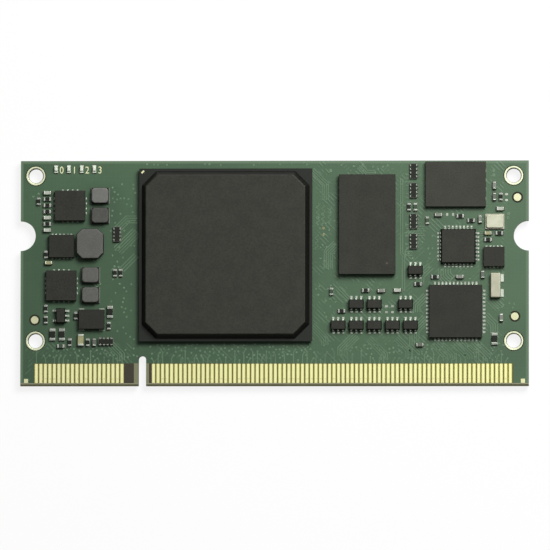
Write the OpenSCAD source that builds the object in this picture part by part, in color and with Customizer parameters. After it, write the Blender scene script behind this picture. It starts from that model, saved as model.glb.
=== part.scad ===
// System on module in the small-outline memory card format.
// X runs along the contact edge, Y points away from the contacts, and Z points up from the component side.
// Places on the board are given as [distance from a side edge, distance down from the top edge, turn].
// A negative first number is counted from the right edge.

/* [Board] */
// Length along the contact edge
board_length = 67.6; // [67.2:0.1:80]
// Width from the contact edge to the top edge
board_width = 30; // [29:0.5:40]
// Thickness of the laminate
board_thickness = 1; // [0.6:0.1:1.6]
// Thickness of copper pads with their plating
copper_thickness = 0.04; // [0.02:0.01:0.08]
// Bevel along both faces of the contact edge
edge_bevel = 0.25; // [0.05:0.05:0.3]

/* [Mounting holes and notches] */
// Finished diameter of each plated mounting hole
hole_diameter = 1.9; // [1.2:0.1:2.2]
// Wall of the plating inside a mounting hole
barrel_wall = 0.05; // [0.03:0.01:0.1]
// Width of the gold ring round a mounting hole
ring_width = 0.3; // [0.2:0.05:0.6]
// Hole centres from the side edges and from the top edge
hole_inset = 2; // [1.7:0.1:2.1]
// Lower hole centres above the contact edge
hole_above_edge = 6; // [5:0.1:7]
// Radius of the half-round latch notch in each side
latch_radius = 2; // [1:0.1:2.1]
// Latch notch centres above the contact edge
latch_above_edge = 20; // [18:0.5:21]
// Width of the key notch between the contact banks
key_width = 1; // [0.6:0.1:1.4]
// Depth of the key notch with its round end
key_depth = 4; // [2:0.1:4.5]
// Key notch centre from the left edge
key_from_left = 16.25; // [10:0.05:25]

/* [Edge contacts] */
// Spacing of the edge contacts
contact_pitch = 0.6; // [0.5:0.05:1]
// Gap between neighbouring contacts
contact_gap = 0.15; // [0.1:0.05:0.3]
// Length of a contact
contact_length = 2.55; // [1.5:0.05:3]
// Contact ends from the board edge
contact_inset = 0.4; // [0.35:0.05:0.6]
// Key notch centre to the nearest contact on its left
key_to_left_bank = 2.7; // [1.5:0.1:4]
// Key notch centre to the nearest contact on its right
key_to_right_bank = 1.5; // [1.2:0.1:4]
// Least distance from a side edge to a contact centre
bank_margin = 1.9; // [1.6:0.1:4]
// Side of the square gold pads at the lower corners
corner_pad = 0.55; // [0.3:0.05:0.8]
// Corner pads from the side edges
corner_pad_inset = 0.5; // [0.3:0.05:0.6]
// Diameter of the round alignment marks
fiducial_diameter = 1; // [0.5:0.1:1.4]

/* [Main chip] */
// Side of the square substrate
fpga_size = 23; // [19:0.5:25]
// Thickness of the substrate
fpga_substrate_t = 0.56; // [0.3:0.02:1]
// Substrate edge to the foot of the mould cap
fpga_cap_step = 0.35; // [0.1:0.05:1]
// Height of the mould cap
fpga_cap_height = 1.17; // [0.6:0.01:1.6]
// Inward slope of the cap walls over their height
fpga_cap_draft = 0.55; // [0.1:0.05:1]
// Length of the bevel leg across each foot corner of the cap
fpga_cap_corner = 1.9; // [1:0.1:3]
// Side of the gold mark on the substrate corner
fpga_mark = 0.45; // [0.2:0.05:0.6]
// Spacing of the solder balls
fpga_ball_pitch = 1; // [0.8:0.05:1.27]
// Diameter of a solder ball before it is flattened
fpga_ball = 0.6; // [0.4:0.05:0.75]
// Least distance from the substrate edge to a ball centre
fpga_ball_margin = 0.9; // [0.6:0.1:3]

/* [Memory chip] */
// Length across the board
memory_length = 13.3; // [10:0.1:15]
// Width along the board
memory_width = 7.5; // [6:0.1:9]
// Thickness of the substrate
memory_substrate_t = 0.25; // [0.15:0.01:0.4]
// Thickness of the mould
memory_mould_t = 0.55; // [0.3:0.05:0.9]
// Spacing of the solder balls
memory_ball_pitch = 0.8; // [0.65:0.05:1]
// Diameter of a solder ball before it is flattened
memory_ball = 0.45; // [0.3:0.05:0.6]
// Least distance from the substrate edge to a ball centre
memory_ball_margin = 0.5; // [0.4:0.05:1]
// Height that soldering takes off every ball
ball_flat = 0.15; // [0.05:0.01:0.2]

/* [Leadless chips] */
// Flash chip along the board
flash_length = 8; // [7:0.1:8.6]
// Flash chip across the board
flash_width = 6; // [5:0.1:6.6]
// Flash chip from the top edge
flash_inset = 0.2; // [0.1:0.05:0.4]
// Flash chip lead spacing
flash_pitch = 1.27; // [1:0.01:1.4]
// Flash chip corner to its first lead
flash_corner = 1; // [0.6:0.05:1.1]
// Flash chip lead width
flash_lead = 0.48; // [0.3:0.02:0.6]
// Flash chip lands past its body
flash_land = 0.02; // [0.02:0.01:0.2]
// Thermal pad under the flash chip, along the board
flash_pad = 3.4; // [2:0.1:5]
// Side of the network chip
network_size = 7; // [5:0.05:7]
// Side of the interface chip at its foot
usb_size = 4.65; // [4:0.05:5.2]
// Inward slope of the interface chip walls
usb_draft = 0.15; // [0.05:0.01:0.4]
// Tips of the interface chip leads past its foot
usb_lead_tip = 0.12; // [0.05:0.01:0.2]
// Clock chip along the board
clock_length = 2.75; // [2.3:0.05:3.2]
// Clock chip across the board
clock_width = 2.6; // [2:0.05:3]
// Side of the large regulator chips
regulator_size = 4; // [3.4:0.1:4.2]
// Small regulator along the board
small_regulator_length = 3.3; // [2.6:0.1:3.4]
// Small regulator across the board
small_regulator_width = 3; // [2.4:0.1:3.6]
// Height of the leadless chips
leadless_height = 0.85; // [0.5:0.05:1]
// Lead spacing of the fine chips
fine_pitch = 0.5; // [0.4:0.05:0.65]
// Lead spacing of the large regulators
regulator_pitch = 0.65; // [0.5:0.05:0.8]
// Width of a flat lead
lead_width = 0.24; // [0.15:0.01:0.3]
// Length of a flat lead under its chip
lead_length = 0.4; // [0.25:0.05:0.5]
// Thickness of the lead frame
lead_thickness = 0.2; // [0.1:0.01:0.3]
// Chip corner to the first lead on the fine chips
fine_corner = 0.55; // [0.4:0.05:0.6]
// Chip corner to the first lead on the large regulators
regulator_corner = 0.72; // [0.6:0.02:0.9]
// Chip corner to the first lead on the two-sided chips
dual_corner = 0.32; // [0.2:0.02:0.4]
// Gap between the leads and the thermal pad under a chip
pad_gap = 0.3; // [0.2:0.05:0.45]
// Lands of the fine chips past the chip body
fine_land = 0.45; // [0.25:0.05:0.55]
// Lands of the other leadless chips past the chip body
short_land = 0.2; // [0.05:0.05:0.25]
// Solder fillet against the outer ends of the flat leads
toe_fillet = 0.18; // [0.05:0.01:0.2]

/* [Gull wing chips] */
// Length of the moulded body
gate_length = 2; // [1.8:0.05:2.2]
// Width of the moulded body between its lead rows
gate_width = 1.25; // [1:0.05:1.4]
// Height of the moulded body
gate_height = 0.9; // [0.7:0.05:1.2]
// Gap under the body
gate_standoff = 0.05; // [0.02:0.01:0.1]
// Slope of the body walls above and below the leads
gate_draft = 0.1; // [0.04:0.01:0.2]
// Lead spacing
gate_pitch = 0.65; // [0.5:0.05:0.75]
// Width of a formed lead
gate_lead_width = 0.22; // [0.15:0.01:0.3]
// Thickness of a formed lead
gate_lead_t = 0.12; // [0.08:0.01:0.16]
// Inside radius of the lead bends
gate_bend = 0.06; // [0.03:0.01:0.09]
// Flat foot of a formed lead
gate_foot = 0.16; // [0.1:0.01:0.25]
// Straight shoulder between body and first bend
gate_shoulder = 0.05; // [0.02:0.01:0.1]
// Gap between the bodies in a row of gates
gate_gap = 0.4; // [0.3:0.05:0.5]
// Gap between the lead tips of the two rows of gates
gate_row_gap = 0.65; // [0.4:0.05:0.8]
// Land showing round the foot of a formed lead
gate_land_border = 0.05; // [0.02:0.01:0.1]

/* [Inductors] */
// Small inductor along the board
coil_length = 2.4; // [2.2:0.05:2.8]
// Small inductor across the board
coil_width = 2.1; // [1.6:0.05:2.3]
// Small inductor height
coil_height = 1; // [0.8:0.05:1.4]
// Gap between the two small inductors of a pair
coil_gap = 0.55; // [0.3:0.05:0.9]
// Top flange back from the ends of the inductor
coil_flange_step = 0.05; // [0.05:0.05:0.3]
// Corner radius of the small top flange
coil_corner = 0.5; // [0.1:0.05:0.6]
// Post inside the small winding
coil_post = 0.9; // [0.6:0.05:1.1]
// Length of a terminal under the small inductor
coil_terminal = 0.6; // [0.4:0.05:0.8]
// Lands of the small inductor past its ends
coil_land = 0.03; // [0.02:0.01:0.2]
// Large inductor along the board
choke_length = 3.6; // [3:0.05:3.8]
// Large inductor across the board
choke_width = 4; // [3.4:0.05:4.4]
// Large inductor height
choke_height = 1.3; // [1:0.05:2]
// Corner bevel of the large inductor
choke_bevel = 0.75; // [0.3:0.05:1]
// Post inside the large winding
choke_post = 1.6; // [1:0.1:2]
// Width of a terminal under the large inductor
choke_terminal = 0.75; // [0.5:0.05:1]
// Terminals back from the ends of the large inductor
choke_terminal_inset = 0.35; // [0.1:0.05:0.5]
// Thickness of every inductor flange
flange_thickness = 0.28; // [0.2:0.02:0.36]
// Depth of the open groove under the flange edge where the wire ends
winding_margin = 0.15; // [0.1:0.05:0.3]
// Thickness of the inductor terminals
terminal_thickness = 0.08; // [0.05:0.01:0.15]

/* [Crystals and oscillator] */
// Crystal along the board
crystal_length = 2.5; // [2:0.05:2.9]
// Crystal across the board
crystal_width = 2; // [1.6:0.05:2.2]
// Height of the ceramic base
crystal_base_h = 0.35; // [0.2:0.05:0.6]
// Height of the metal lid
crystal_lid_h = 0.25; // [0.1:0.05:0.4]
// Lid back from the edge of the base
crystal_rim = 0.12; // [0.05:0.01:0.3]
// Tuning-fork crystal along the board
fork_width = 1.35; // [1.1:0.05:1.5]
// Tuning-fork crystal across the board
fork_length = 3.3; // [2.8:0.1:3.6]
// Tuning-fork crystal height
fork_height = 0.9; // [0.6:0.05:1.2]
// Width of its soldered tabs
fork_tab_width = 1; // [0.6:0.05:1.2]
// Tabs past the side of the case
fork_tab_out = 0.4; // [0.2:0.05:0.6]
// Tabs from the ends of the case
fork_tab_inset = 0.15; // [0.05:0.05:0.3]
// Corner radius of the case
fork_corner = 0.15; // [0.05:0.05:0.4]
// Thickness of the tabs
fork_tab_t = 0.12; // [0.08:0.01:0.2]
// Oscillator along the board
oscillator_length = 3.4; // [3:0.05:3.55]
// Oscillator across the board
oscillator_width = 2.6; // [2:0.05:2.9]
// Oscillator height
oscillator_height = 0.85; // [0.6:0.05:1.2]
// Side of the corner pads under crystal and oscillator
corner_lead = 0.7; // [0.4:0.05:0.75]

/* [Chip parts] */
// Length of the small chips
chip_length = 1; // [0.8:0.05:1.05]
// Width of the small chips
chip_width = 0.5; // [0.3:0.02:0.56]
// Length of the large chips
big_length = 1.6; // [1.4:0.05:1.7]
// Width of the large chips
big_width = 0.8; // [0.6:0.05:0.95]
// Height of the resistors
resistor_height = 0.35; // [0.3:0.01:0.5]
// Height of the capacitors
capacitor_height = 0.5; // [0.3:0.01:0.7]
// Length of the terminals on small chips
chip_end = 0.22; // [0.15:0.01:0.3]
// Length of the terminals on large chips
big_end = 0.35; // [0.2:0.01:0.45]
// Plating thickness of the terminals
end_plating = 0.02; // [0.01:0.01:0.03]
// Thickness of the dark coat over a resistor
coat_thickness = 0.03; // [0.02:0.01:0.05]
// Gap between the chips stacked beside the large regulator
stack_gap = 0.33; // [0.25:0.01:0.36]
// Gap between those chips' lands and the regulator's lands
stack_clear = 0.22; // [0.1:0.01:0.25]
// Length of a resistor array
array_length = 2; // [1.9:0.05:2.2]
// Width of a resistor array
array_width = 1; // [0.8:0.05:1.1]
// Spacing of the array elements
array_pitch = 0.5; // [0.4:0.02:0.52]
// Width of an array terminal
array_end_width = 0.3; // [0.2:0.01:0.36]
// Diameter of the edge notches between the array elements
array_notch = 0.16; // [0.1:0.01:0.18]
// Dark coat back from the edges of an array
array_coat_inset = 0.03; // [0.02:0.01:0.15]
// Length of an array terminal
array_end = 0.18; // [0.1:0.01:0.3]
// Solder fillet radius at a chip end
fillet_radius = 0.1; // [0.06:0.01:0.18]
// Flat land left outside the solder fillet
land_lip = 0.03; // [0.02:0.01:0.06]
// Width of the bare lands of unfitted chips
bare_land = 0.36; // [0.2:0.02:0.5]

/* [Status lamps] */
// Spacing of the status lamps
lamp_pitch = 1.7; // [1.4:0.05:2]
// Height of a lamp base
lamp_base_h = 0.15; // [0.1:0.01:0.25]
// Height of a lamp lens
lamp_lens_h = 0.3; // [0.2:0.05:0.5]
// Inward slope of the lens walls
lamp_draft = 0.04; // [0.02:0.01:0.1]

/* [Underside] */
// Spacing of the bypass capacitors under the main chip
bypass_pitch = 3; // [2:0.1:3.4]
// Rows and columns of bypass capacitors under the main chip
bypass_rows = 6; // [4:2:8]
// Rows of bypass capacitors under the memory
memory_bypass_rows = 5; // [3:1:5]
// Their spacing across the board
memory_bypass_pitch = 2.6; // [1.6:0.1:2.8]
// Their distance from the middle of the memory
memory_bypass_offset = 1.5; // [0.9:0.1:2.5]

/* [Hidden] */
$fn = 32;
// Extra length of every cutting shape
cut = 1;

// Heights, up from the lowest face of the bypass capacitors
under_z = capacitor_height + copper_thickness;
face_z = under_z + board_thickness;

// Thermal pads back from the chip edge, and flash leads on each end
pad_border = lead_length + pad_gap;
flash_count = per_side(flash_width, flash_pitch, flash_corner);

// Contact banks
contact_width = contact_pitch - contact_gap;
left_count = 1 + floor((key_from_left - key_to_left_bank - bank_margin) / contact_pitch);
right_count = 1 + floor((board_length - key_from_left - key_to_right_bank - bank_margin) / contact_pitch);

// Ball arrays
fpga_ball_h = fpga_ball - ball_flat;
memory_ball_h = memory_ball - ball_flat;
fpga_rows = 1 + floor((fpga_size - 2 * fpga_ball_margin) / fpga_ball_pitch);
memory_rows = 1 + floor((memory_length - 2 * memory_ball_margin) / memory_ball_pitch);
memory_outer = floor((memory_width / 2 - memory_ball_margin) / memory_ball_pitch);

// Heights inside the formed-lead chips and reach of their leads
gate_band = gate_standoff + (gate_height - gate_lead_t) / 2;
bend_out = gate_bend + gate_lead_t;
gate_reach = gate_shoulder + bend_out + gate_bend + gate_foot;
land_out = fillet_radius + land_lip;
gate_step = gate_length + gate_gap;

// Places of the larger parts
fpga_at = [27.35, 12.6, 0];
memory_at = [46.15, 8.55, 90];
flash_at = [-9.7, flash_inset + flash_width / 2, 0];
network_at = [-9.7, 20.1, 0];
usb_at = [-9.35, 11.45, 0];
clock_at = [-4.6, 12.85, 0];
regulator_at = [[6.6, 6, 0], [5.45, 16.65, 0]];
small_regulator_at = [5.5, 11.4, 0];
oscillator_at = [9.5, 21.15, 0];
crystal_at = [-4.5, 8.15, 0];
fork_at = [-4.4, 16.65, 0];
choke_at = [9.3, 11.1, 0];
pair_at = [[10.6, 4.65], [9.35, 15.25]];
lamp_at = [4.7, 1.1];
supervisor_at = [5.4, 20.65, 90];

// Small inductors: two pairs, each one above the other
coil_at = [for (p = pair_at, i = [0, 1]) [p[0], p[1] + i * (coil_width + coil_gap), 0]];

// Logic gates: one alone, and two rows on the same spacing
gate_row = [42.3, 19.15];
gate_alone = [52.55, 14.65, 0];
gate_last = 51.25;
gate_row_step = gate_width + 2 * gate_reach + gate_row_gap;
gate_at = concat(
    [gate_alone, [gate_last, gate_row[1], 0]],
    [for (i = [1, 2]) [gate_row[0] + i * gate_step, gate_row[1], 0]],
    [for (i = [0 : 4]) [gate_row[0] + i * gate_step, gate_row[1] + gate_row_step, 0]]);

// Chips stacked beside the first regulator, from the top: resistors 1, 2, 3 and 5, capacitors 0, 4 and 6
stack_x = regulator_at[0][0] - regulator_size / 2 - short_land - stack_clear - land_out - chip_length / 2;
stack_top = 4.27;
function stacked(i) = [stack_x, stack_top + i * (chip_width + stack_gap), 0];

resistor_spots = [
    [2.4, 5.4, 90], [3.4, 12.5, 90], [3.4, 19.7, 90], [3.4, 21.2, 90], [7.4, 20.65, 90],
    [11.8, 22, 90], [5.4, 24.7, 0], [6.6, 24.2, 90], [9, 24.2, 90],
    [12.6, 14.95, 90], [13.35, 14.95, 90], [41.4, 17.45, 90],
    [42.75, 20.05, 0], [45.95, 17.3, 0], [52.9, 16.45, 0], [51.7, 6.2, 90], [52.55, 6.2, 90],
    [-13.45, 8, 90], [-9.1, 7.4, 0], [-7.65, 8, 0], [-3.7, 4.85, 90],
    [-3.9, 9.7, 0], [-5.4, 10.55, 0], [-12.45, 15.5, 0]];
resistor_at = concat([for (i = [1, 2, 3, 5]) stacked(i)], resistor_spots);

capacitor_spots = [
    [3.75, 13.6, 0], [9.85, 24.2, 90], [48, 17.35, 0], [50.15, 17.3, 0], [53.15, 24.55, 0],
    [-12, 7.25, 0], [-6.45, 7.85, 90], [-4.55, 3.35, 90], [-4.55, 4.85, 90], [-3.8, 6.45, 0],
    [-5.4, 9.7, 0], [-6.1, 15.2, 90], [-9.15, 15.5, 0], [-3.65, 20.95, 90]];
capacitor_at = concat([for (i = [0, 4, 6]) stacked(i)], capacitor_spots);

big_resistor_at = [[11.95, 20.15, 90], [4.3, 23.15, 90], [5.55, 23.15, 90], [-4.55, 23.75, 90]];
big_capacitor_at = [[8.05, 23.9, 90]];

array_at = [[12.85, 9.8, 90], [11.4, 24.1, 0],
    [52.3, 1.4, 90], [52.3, 4, 90], [52.3, 8.1, 90], [52.3, 10.75, 90]];

// Unfitted parts that show bare lands
bare_at = [[48.7, 19.8, 90], [49.5, 19.8, 90], [-2.95, 4.9, 90], [-10.45, 7.2, 0]];

// Distance of the alignment marks from a side edge and from the contact edge
fiducial_at = [[1.9, 8.8], [-1.85, 9.25], [-1.5, 25.1]];

// Board places

function at_x(d) = d < 0 ? board_length / 2 + d : d - board_length / 2;
function at_y(t) = board_width / 2 - t;
function edge_y(h) = h - board_width / 2;

// Puts a part on the component face
module place(p) {
    translate([at_x(p[0]), at_y(p[1]), face_z])
        rotate(p[2])
            children();
}

// Puts a part on the component face, standing on its lands
module seat(p) {
    place(p)
        translate([0, 0, copper_thickness])
            children();
}

// Copies in a straight row, centred
module row(count, pitch) {
    for (i = [0 : count - 1])
        translate([(i - (count - 1) / 2) * pitch, 0, 0])
            children();
}

// The same thing turned to each of several sides
module on_sides(turns) {
    for (a = turns)
        rotate(a)
            children();
}

// A block standing on the plane, centred
module block(x, y, z) {
    translate([-x / 2, -y / 2, 0])
        cube([x, y, z]);
}

// A bar with sloping ends, the raw form of a drafted mould
module sloped_bar(x, y, z, draft) {
    rotate([90, 0, 0])
        linear_extrude(y, center = true)
            polygon([[-x / 2, 0], [x / 2, 0], [x / 2 - draft, z], [draft - x / 2, z]]);
}

// A moulded block whose four walls lean inwards
module moulded(x, y, z, draft) {
    intersection() {
        sloped_bar(x, y + cut, z, draft);
        rotate(90)
            sloped_bar(y, x + cut, z, draft);
    }
}

// Board

module board_outline() {
    difference() {
        square([board_length, board_width], center = true);
        for (side = [-1, 1])
            translate([side * board_length / 2, edge_y(latch_above_edge)])
                circle(latch_radius);
        translate([at_x(key_from_left), edge_y(key_depth - key_width / 2)])
            circle(d = key_width);
        translate([at_x(key_from_left) - key_width / 2, edge_y(-cut)])
            square([key_width, key_depth - key_width / 2 + cut]);
    }
}

module at_holes() {
    for (side = [-1, 1], y = [at_y(hole_inset), edge_y(hole_above_edge)])
        translate([side * (board_length / 2 - hole_inset), y, 0])
            children();
}

module circuit_board() {
    color("seagreen")
        difference() {
            translate([0, 0, under_z])
                linear_extrude(board_thickness)
                    board_outline();
            at_holes()
                translate([0, 0, under_z - cut])
                    cylinder(d = hole_diameter + 2 * barrel_wall, h = board_thickness + 2 * cut);
            for (face = [under_z, face_z])
                translate([0, edge_y(0), face])
                    rotate([45, 0, 0])
                        cube([board_length + cut, edge_bevel * sqrt(2), edge_bevel * sqrt(2)], center = true);
        }
}

// Plated eyelets: a barrel with a flat ring on each face
module hole_plating() {
    inner = hole_diameter / 2;
    barrel = inner + barrel_wall;
    ring = inner + ring_width;
    low = under_z - copper_thickness;
    high = face_z + copper_thickness;
    color("gold")
        at_holes()
            rotate_extrude()
                polygon([[inner, low], [ring, low], [ring, under_z], [barrel, under_z],
                    [barrel, face_z], [ring, face_z], [ring, high], [inner, high]]);
}

module contact_banks() {
    y = edge_y(contact_inset + contact_length / 2);
    for (i = [0 : left_count - 1])
        translate([at_x(key_from_left - key_to_left_bank - i * contact_pitch), y, 0])
            block(contact_width, contact_length, copper_thickness);
    for (i = [0 : right_count - 1])
        translate([at_x(key_from_left + key_to_right_bank + i * contact_pitch), y, 0])
            block(contact_width, contact_length, copper_thickness);
}

module front_contacts() {
    color("gold")
        translate([0, 0, face_z])
            contact_banks();
}

module back_contacts() {
    color("gold")
        translate([0, 0, under_z - copper_thickness])
            contact_banks();
}

module corner_pads() {
    color("gold")
        for (side = [-1, 1])
            translate([side * (board_length / 2 - corner_pad_inset - corner_pad / 2),
                edge_y(contact_inset + corner_pad / 2), face_z])
                block(corner_pad, corner_pad, copper_thickness);
}

module fiducials() {
    color("gold")
        for (p = fiducial_at)
            translate([at_x(p[0]), edge_y(p[1]), face_z])
                cylinder(d = fiducial_diameter, h = copper_thickness);
}

// Ball-grid chips

// A solder ball flattened at top and bottom
module ball(diameter, height) {
    translate([0, 0, height / 2])
        intersection() {
            sphere(d = diameter);
            cube([diameter, diameter, height], center = true);
        }
}

module fpga_solder_balls() {
    color("silver")
        place(fpga_at)
            row(fpga_rows, fpga_ball_pitch)
                rotate(90)
                    row(fpga_rows, fpga_ball_pitch)
                        ball(fpga_ball, fpga_ball_h);
}

module fpga_substrate() {
    color("darkslategray")
        place(fpga_at)
            translate([0, 0, fpga_ball_h])
                block(fpga_size, fpga_size, fpga_substrate_t);
}

// Moulded cap with sloping walls and bevelled corners
module fpga_mould_cap() {
    foot = fpga_size - 2 * fpga_cap_step;
    across = (2 * foot - 2 * fpga_cap_corner) / sqrt(2);
    color([0.2, 0.2, 0.2])
        place(fpga_at)
            translate([0, 0, fpga_ball_h + fpga_substrate_t])
                intersection() {
                    moulded(foot, foot, fpga_cap_height, fpga_cap_draft);
                    rotate(45)
                        moulded(across, across, fpga_cap_height, fpga_cap_draft);
                }
}

module fpga_corner_mark() {
    corner = fpga_size / 2 - fpga_mark;
    color("gold")
        place(fpga_at)
            translate([-corner, corner, fpga_ball_h + fpga_substrate_t])
                rotate(45)
                    block(fpga_mark, fpga_mark / 2, copper_thickness);
}

module memory_solder_balls() {
    color("silver")
        place(memory_at)
            row(memory_rows, memory_ball_pitch)
                for (side = [-1, 1], i = [memory_outer - 2 : memory_outer])
                    translate([0, side * i * memory_ball_pitch, 0])
                        ball(memory_ball, memory_ball_h);
}

module memory_substrate() {
    color("darkgreen")
        place(memory_at)
            translate([0, 0, memory_ball_h])
                block(memory_length, memory_width, memory_substrate_t);
}

module memory_mould() {
    color([0.2, 0.2, 0.2])
        place(memory_at)
            translate([0, 0, memory_ball_h + memory_substrate_t])
                block(memory_length, memory_width, memory_mould_t);
}

// Leadless chips

function per_side(size, pitch, corner) = 1 + floor((size - 2 * corner) / pitch);

// One side's leads, with their outer ends a little past the body where tip is set
module lead_side(count, pitch, half, width, tip) {
    row(count, pitch)
        translate([0, half - lead_length / 2 + tip / 2, 0])
            block(width, lead_length + tip, lead_thickness);
}

// One side's lands, from the inner lead ends out past the body
module land_side(count, pitch, half, width, out) {
    row(count, pitch)
        translate([0, half + (out - lead_length) / 2, 0])
            block(width, lead_length + out, copper_thickness);
}

// Hollow solder fillet in a corner, seen from the side
module hollow(r) {
    difference() {
        square(r);
        translate([r, r])
            circle(r);
    }
}

// Solder against the outer ends of one side's leads, no longer than the land there
module toe_side(count, pitch, end, width, out) {
    row(count, pitch)
        translate([-width / 2, end, 0])
            rotate([90, 0, 90])
                linear_extrude(width)
                    hollow(min(toe_fillet, out));
}

module quad_toes(size, pitch, corner, tip, out) {
    on_sides([0, 90, 180, 270])
        toe_side(per_side(size, pitch, corner), pitch, size / 2 + tip, lead_width, out - tip);
}

module dual_toes(length, width) {
    on_sides([0, 180])
        toe_side(per_side(length, fine_pitch, dual_corner), fine_pitch, width / 2, lead_width, short_land);
}

module flash_frame() {
    on_sides([90, 270])
        lead_side(flash_count, flash_pitch, flash_length / 2, flash_lead, 0);
    block(flash_pad, flash_width - 2 * pad_border, lead_thickness);
}

module flash_body() {
    color([0.2, 0.2, 0.2])
        seat(flash_at)
            difference() {
                block(flash_length, flash_width, leadless_height);
                flash_frame();
            }
}

module flash_leads() {
    color("silver")
        seat(flash_at)
            flash_frame();
}

module quad_frame(size, pitch, corner, tip) {
    on_sides([0, 90, 180, 270])
        lead_side(per_side(size, pitch, corner), pitch, size / 2, lead_width, tip);
    block(size - 2 * pad_border, size - 2 * pad_border, lead_thickness);
}

module network_chip_body() {
    color([0.2, 0.2, 0.2])
        seat(network_at)
            difference() {
                block(network_size, network_size, leadless_height);
                quad_frame(network_size, fine_pitch, fine_corner, 0);
            }
}

module network_chip_leads() {
    color("silver")
        seat(network_at)
            quad_frame(network_size, fine_pitch, fine_corner, 0);
}

// Punched package: its walls slope and its lead tips stand out
module usb_chip_body() {
    color([0.2, 0.2, 0.2])
        seat(usb_at)
            difference() {
                union() {
                    block(usb_size, usb_size, lead_thickness);
                    translate([0, 0, lead_thickness])
                        moulded(usb_size, usb_size, leadless_height - lead_thickness, usb_draft);
                }
                quad_frame(usb_size, fine_pitch, fine_corner, usb_lead_tip);
            }
}

module usb_chip_leads() {
    color("silver")
        seat(usb_at)
            quad_frame(usb_size, fine_pitch, fine_corner, usb_lead_tip);
}

module dual_frame(length, width) {
    on_sides([0, 180])
        lead_side(per_side(length, fine_pitch, dual_corner), fine_pitch, width / 2, lead_width, 0);
    block(length - 2 * pad_gap, width - 2 * pad_border, lead_thickness);
}

module clock_chip_body() {
    color([0.2, 0.2, 0.2])
        seat(clock_at)
            difference() {
                block(clock_length, clock_width, leadless_height);
                dual_frame(clock_length, clock_width);
            }
}

module clock_chip_leads() {
    color("silver")
        seat(clock_at)
            dual_frame(clock_length, clock_width);
}

module regulator_bodies() {
    color([0.2, 0.2, 0.2])
        for (p = regulator_at)
            seat(p)
                difference() {
                    block(regulator_size, regulator_size, leadless_height);
                    quad_frame(regulator_size, regulator_pitch, regulator_corner, 0);
                }
}

module regulator_leads() {
    color("silver")
        for (p = regulator_at)
            seat(p)
                quad_frame(regulator_size, regulator_pitch, regulator_corner, 0);
}

module small_regulator_body() {
    color([0.2, 0.2, 0.2])
        seat(small_regulator_at)
            difference() {
                block(small_regulator_length, small_regulator_width, leadless_height);
                dual_frame(small_regulator_length, small_regulator_width);
            }
}

module small_regulator_leads() {
    color("silver")
        seat(small_regulator_at)
            dual_frame(small_regulator_length, small_regulator_width);
}

// Four soldered corners under a small box
module corner_leads(length, width, thickness, out) {
    for (sx = [-1, 1], sy = [-1, 1])
        translate([sx * (length - corner_lead) / 2, sy * (width - corner_lead + out) / 2, 0])
            block(corner_lead, corner_lead + out, thickness);
}

module oscillator_body() {
    color([0.2, 0.2, 0.2])
        seat(oscillator_at)
            difference() {
                block(oscillator_length, oscillator_width, oscillator_height);
                corner_leads(oscillator_length, oscillator_width, lead_thickness, 0);
            }
}

module oscillator_pads() {
    color("silver")
        seat(oscillator_at)
            corner_leads(oscillator_length, oscillator_width, lead_thickness, 0);
}

// Formed-lead chips

// Body section: sloped, then straight where the leads leave it, then sloped again
function gate_section(w) = [
    [-w / 2 + gate_draft, gate_standoff], [w / 2 - gate_draft, gate_standoff],
    [w / 2, gate_band], [w / 2, gate_band + gate_lead_t],
    [w / 2 - gate_draft, gate_standoff + gate_height], [-w / 2 + gate_draft, gate_standoff + gate_height],
    [-w / 2, gate_band + gate_lead_t], [-w / 2, gate_band]];

module gate_body() {
    intersection() {
        rotate([90, 0, 0])
            linear_extrude(gate_width + cut, center = true)
                polygon(gate_section(gate_length));
        rotate([90, 0, 90])
            linear_extrude(gate_length + cut, center = true)
                polygon(gate_section(gate_width));
    }
}

// Quarter of a bent strip about the origin, in the quadrant that the two signs give
module quarter_bend(sx, sy) {
    intersection() {
        difference() {
            circle(bend_out);
            circle(gate_bend);
        }
        translate([sx > 0 ? 0 : -cut, sy > 0 ? 0 : -cut])
            square(cut);
    }
}

// Side view of one gull-wing lead, starting at the body wall
module gull_wing() {
    translate([0, gate_band])
        square([gate_shoulder, gate_lead_t]);
    translate([gate_shoulder, gate_band - gate_bend])
        quarter_bend(1, 1);
    translate([gate_shoulder + gate_bend, bend_out])
        square([gate_lead_t, gate_band - gate_bend - bend_out]);
    translate([gate_shoulder + bend_out + gate_bend, bend_out])
        quarter_bend(-1, -1);
    translate([gate_shoulder + bend_out + gate_bend, 0])
        square([gate_foot, gate_lead_t]);
}

// One lead at a place along the body, leaving it towards +Y
module gate_lead(x) {
    translate([x - gate_lead_width / 2, gate_width / 2, 0])
        rotate([90, 0, 90])
            linear_extrude(gate_lead_width)
                gull_wing();
}

module gate_leads(top, bottom) {
    for (i = top)
        gate_lead(i * gate_pitch);
    rotate(180)
        for (i = bottom)
            gate_lead(i * gate_pitch);
}

module logic_gate_bodies() {
    color([0.2, 0.2, 0.2])
        for (p = gate_at)
            seat(p)
                gate_body();
}

module logic_gate_leads() {
    color("silver")
        for (p = gate_at)
            seat(p)
                gate_leads([-1, 0, 1], [-1, 0, 1]);
}

module supervisor_body() {
    color([0.2, 0.2, 0.2])
        seat(supervisor_at)
            gate_body();
}

module supervisor_leads() {
    color("silver")
        seat(supervisor_at)
            gate_leads([-1, 1], [-1, 0, 1]);
}

// Lands under one formed lead row
module gate_lands(places) {
    for (i = places)
        translate([i * gate_pitch, gate_width / 2 + gate_reach - gate_foot / 2, 0])
            block(gate_lead_width + 2 * gate_land_border, gate_foot + 2 * gate_land_border, copper_thickness);
}

// Inductors

module round_plate(x, y, z, r) {
    linear_extrude(z) {
        square([x - 2 * r, y], center = true);
        square([x, y - 2 * r], center = true);
        for (sx = [-1, 1], sy = [-1, 1])
            translate([sx * (x / 2 - r), sy * (y / 2 - r)])
                circle(r);
    }
}

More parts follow.
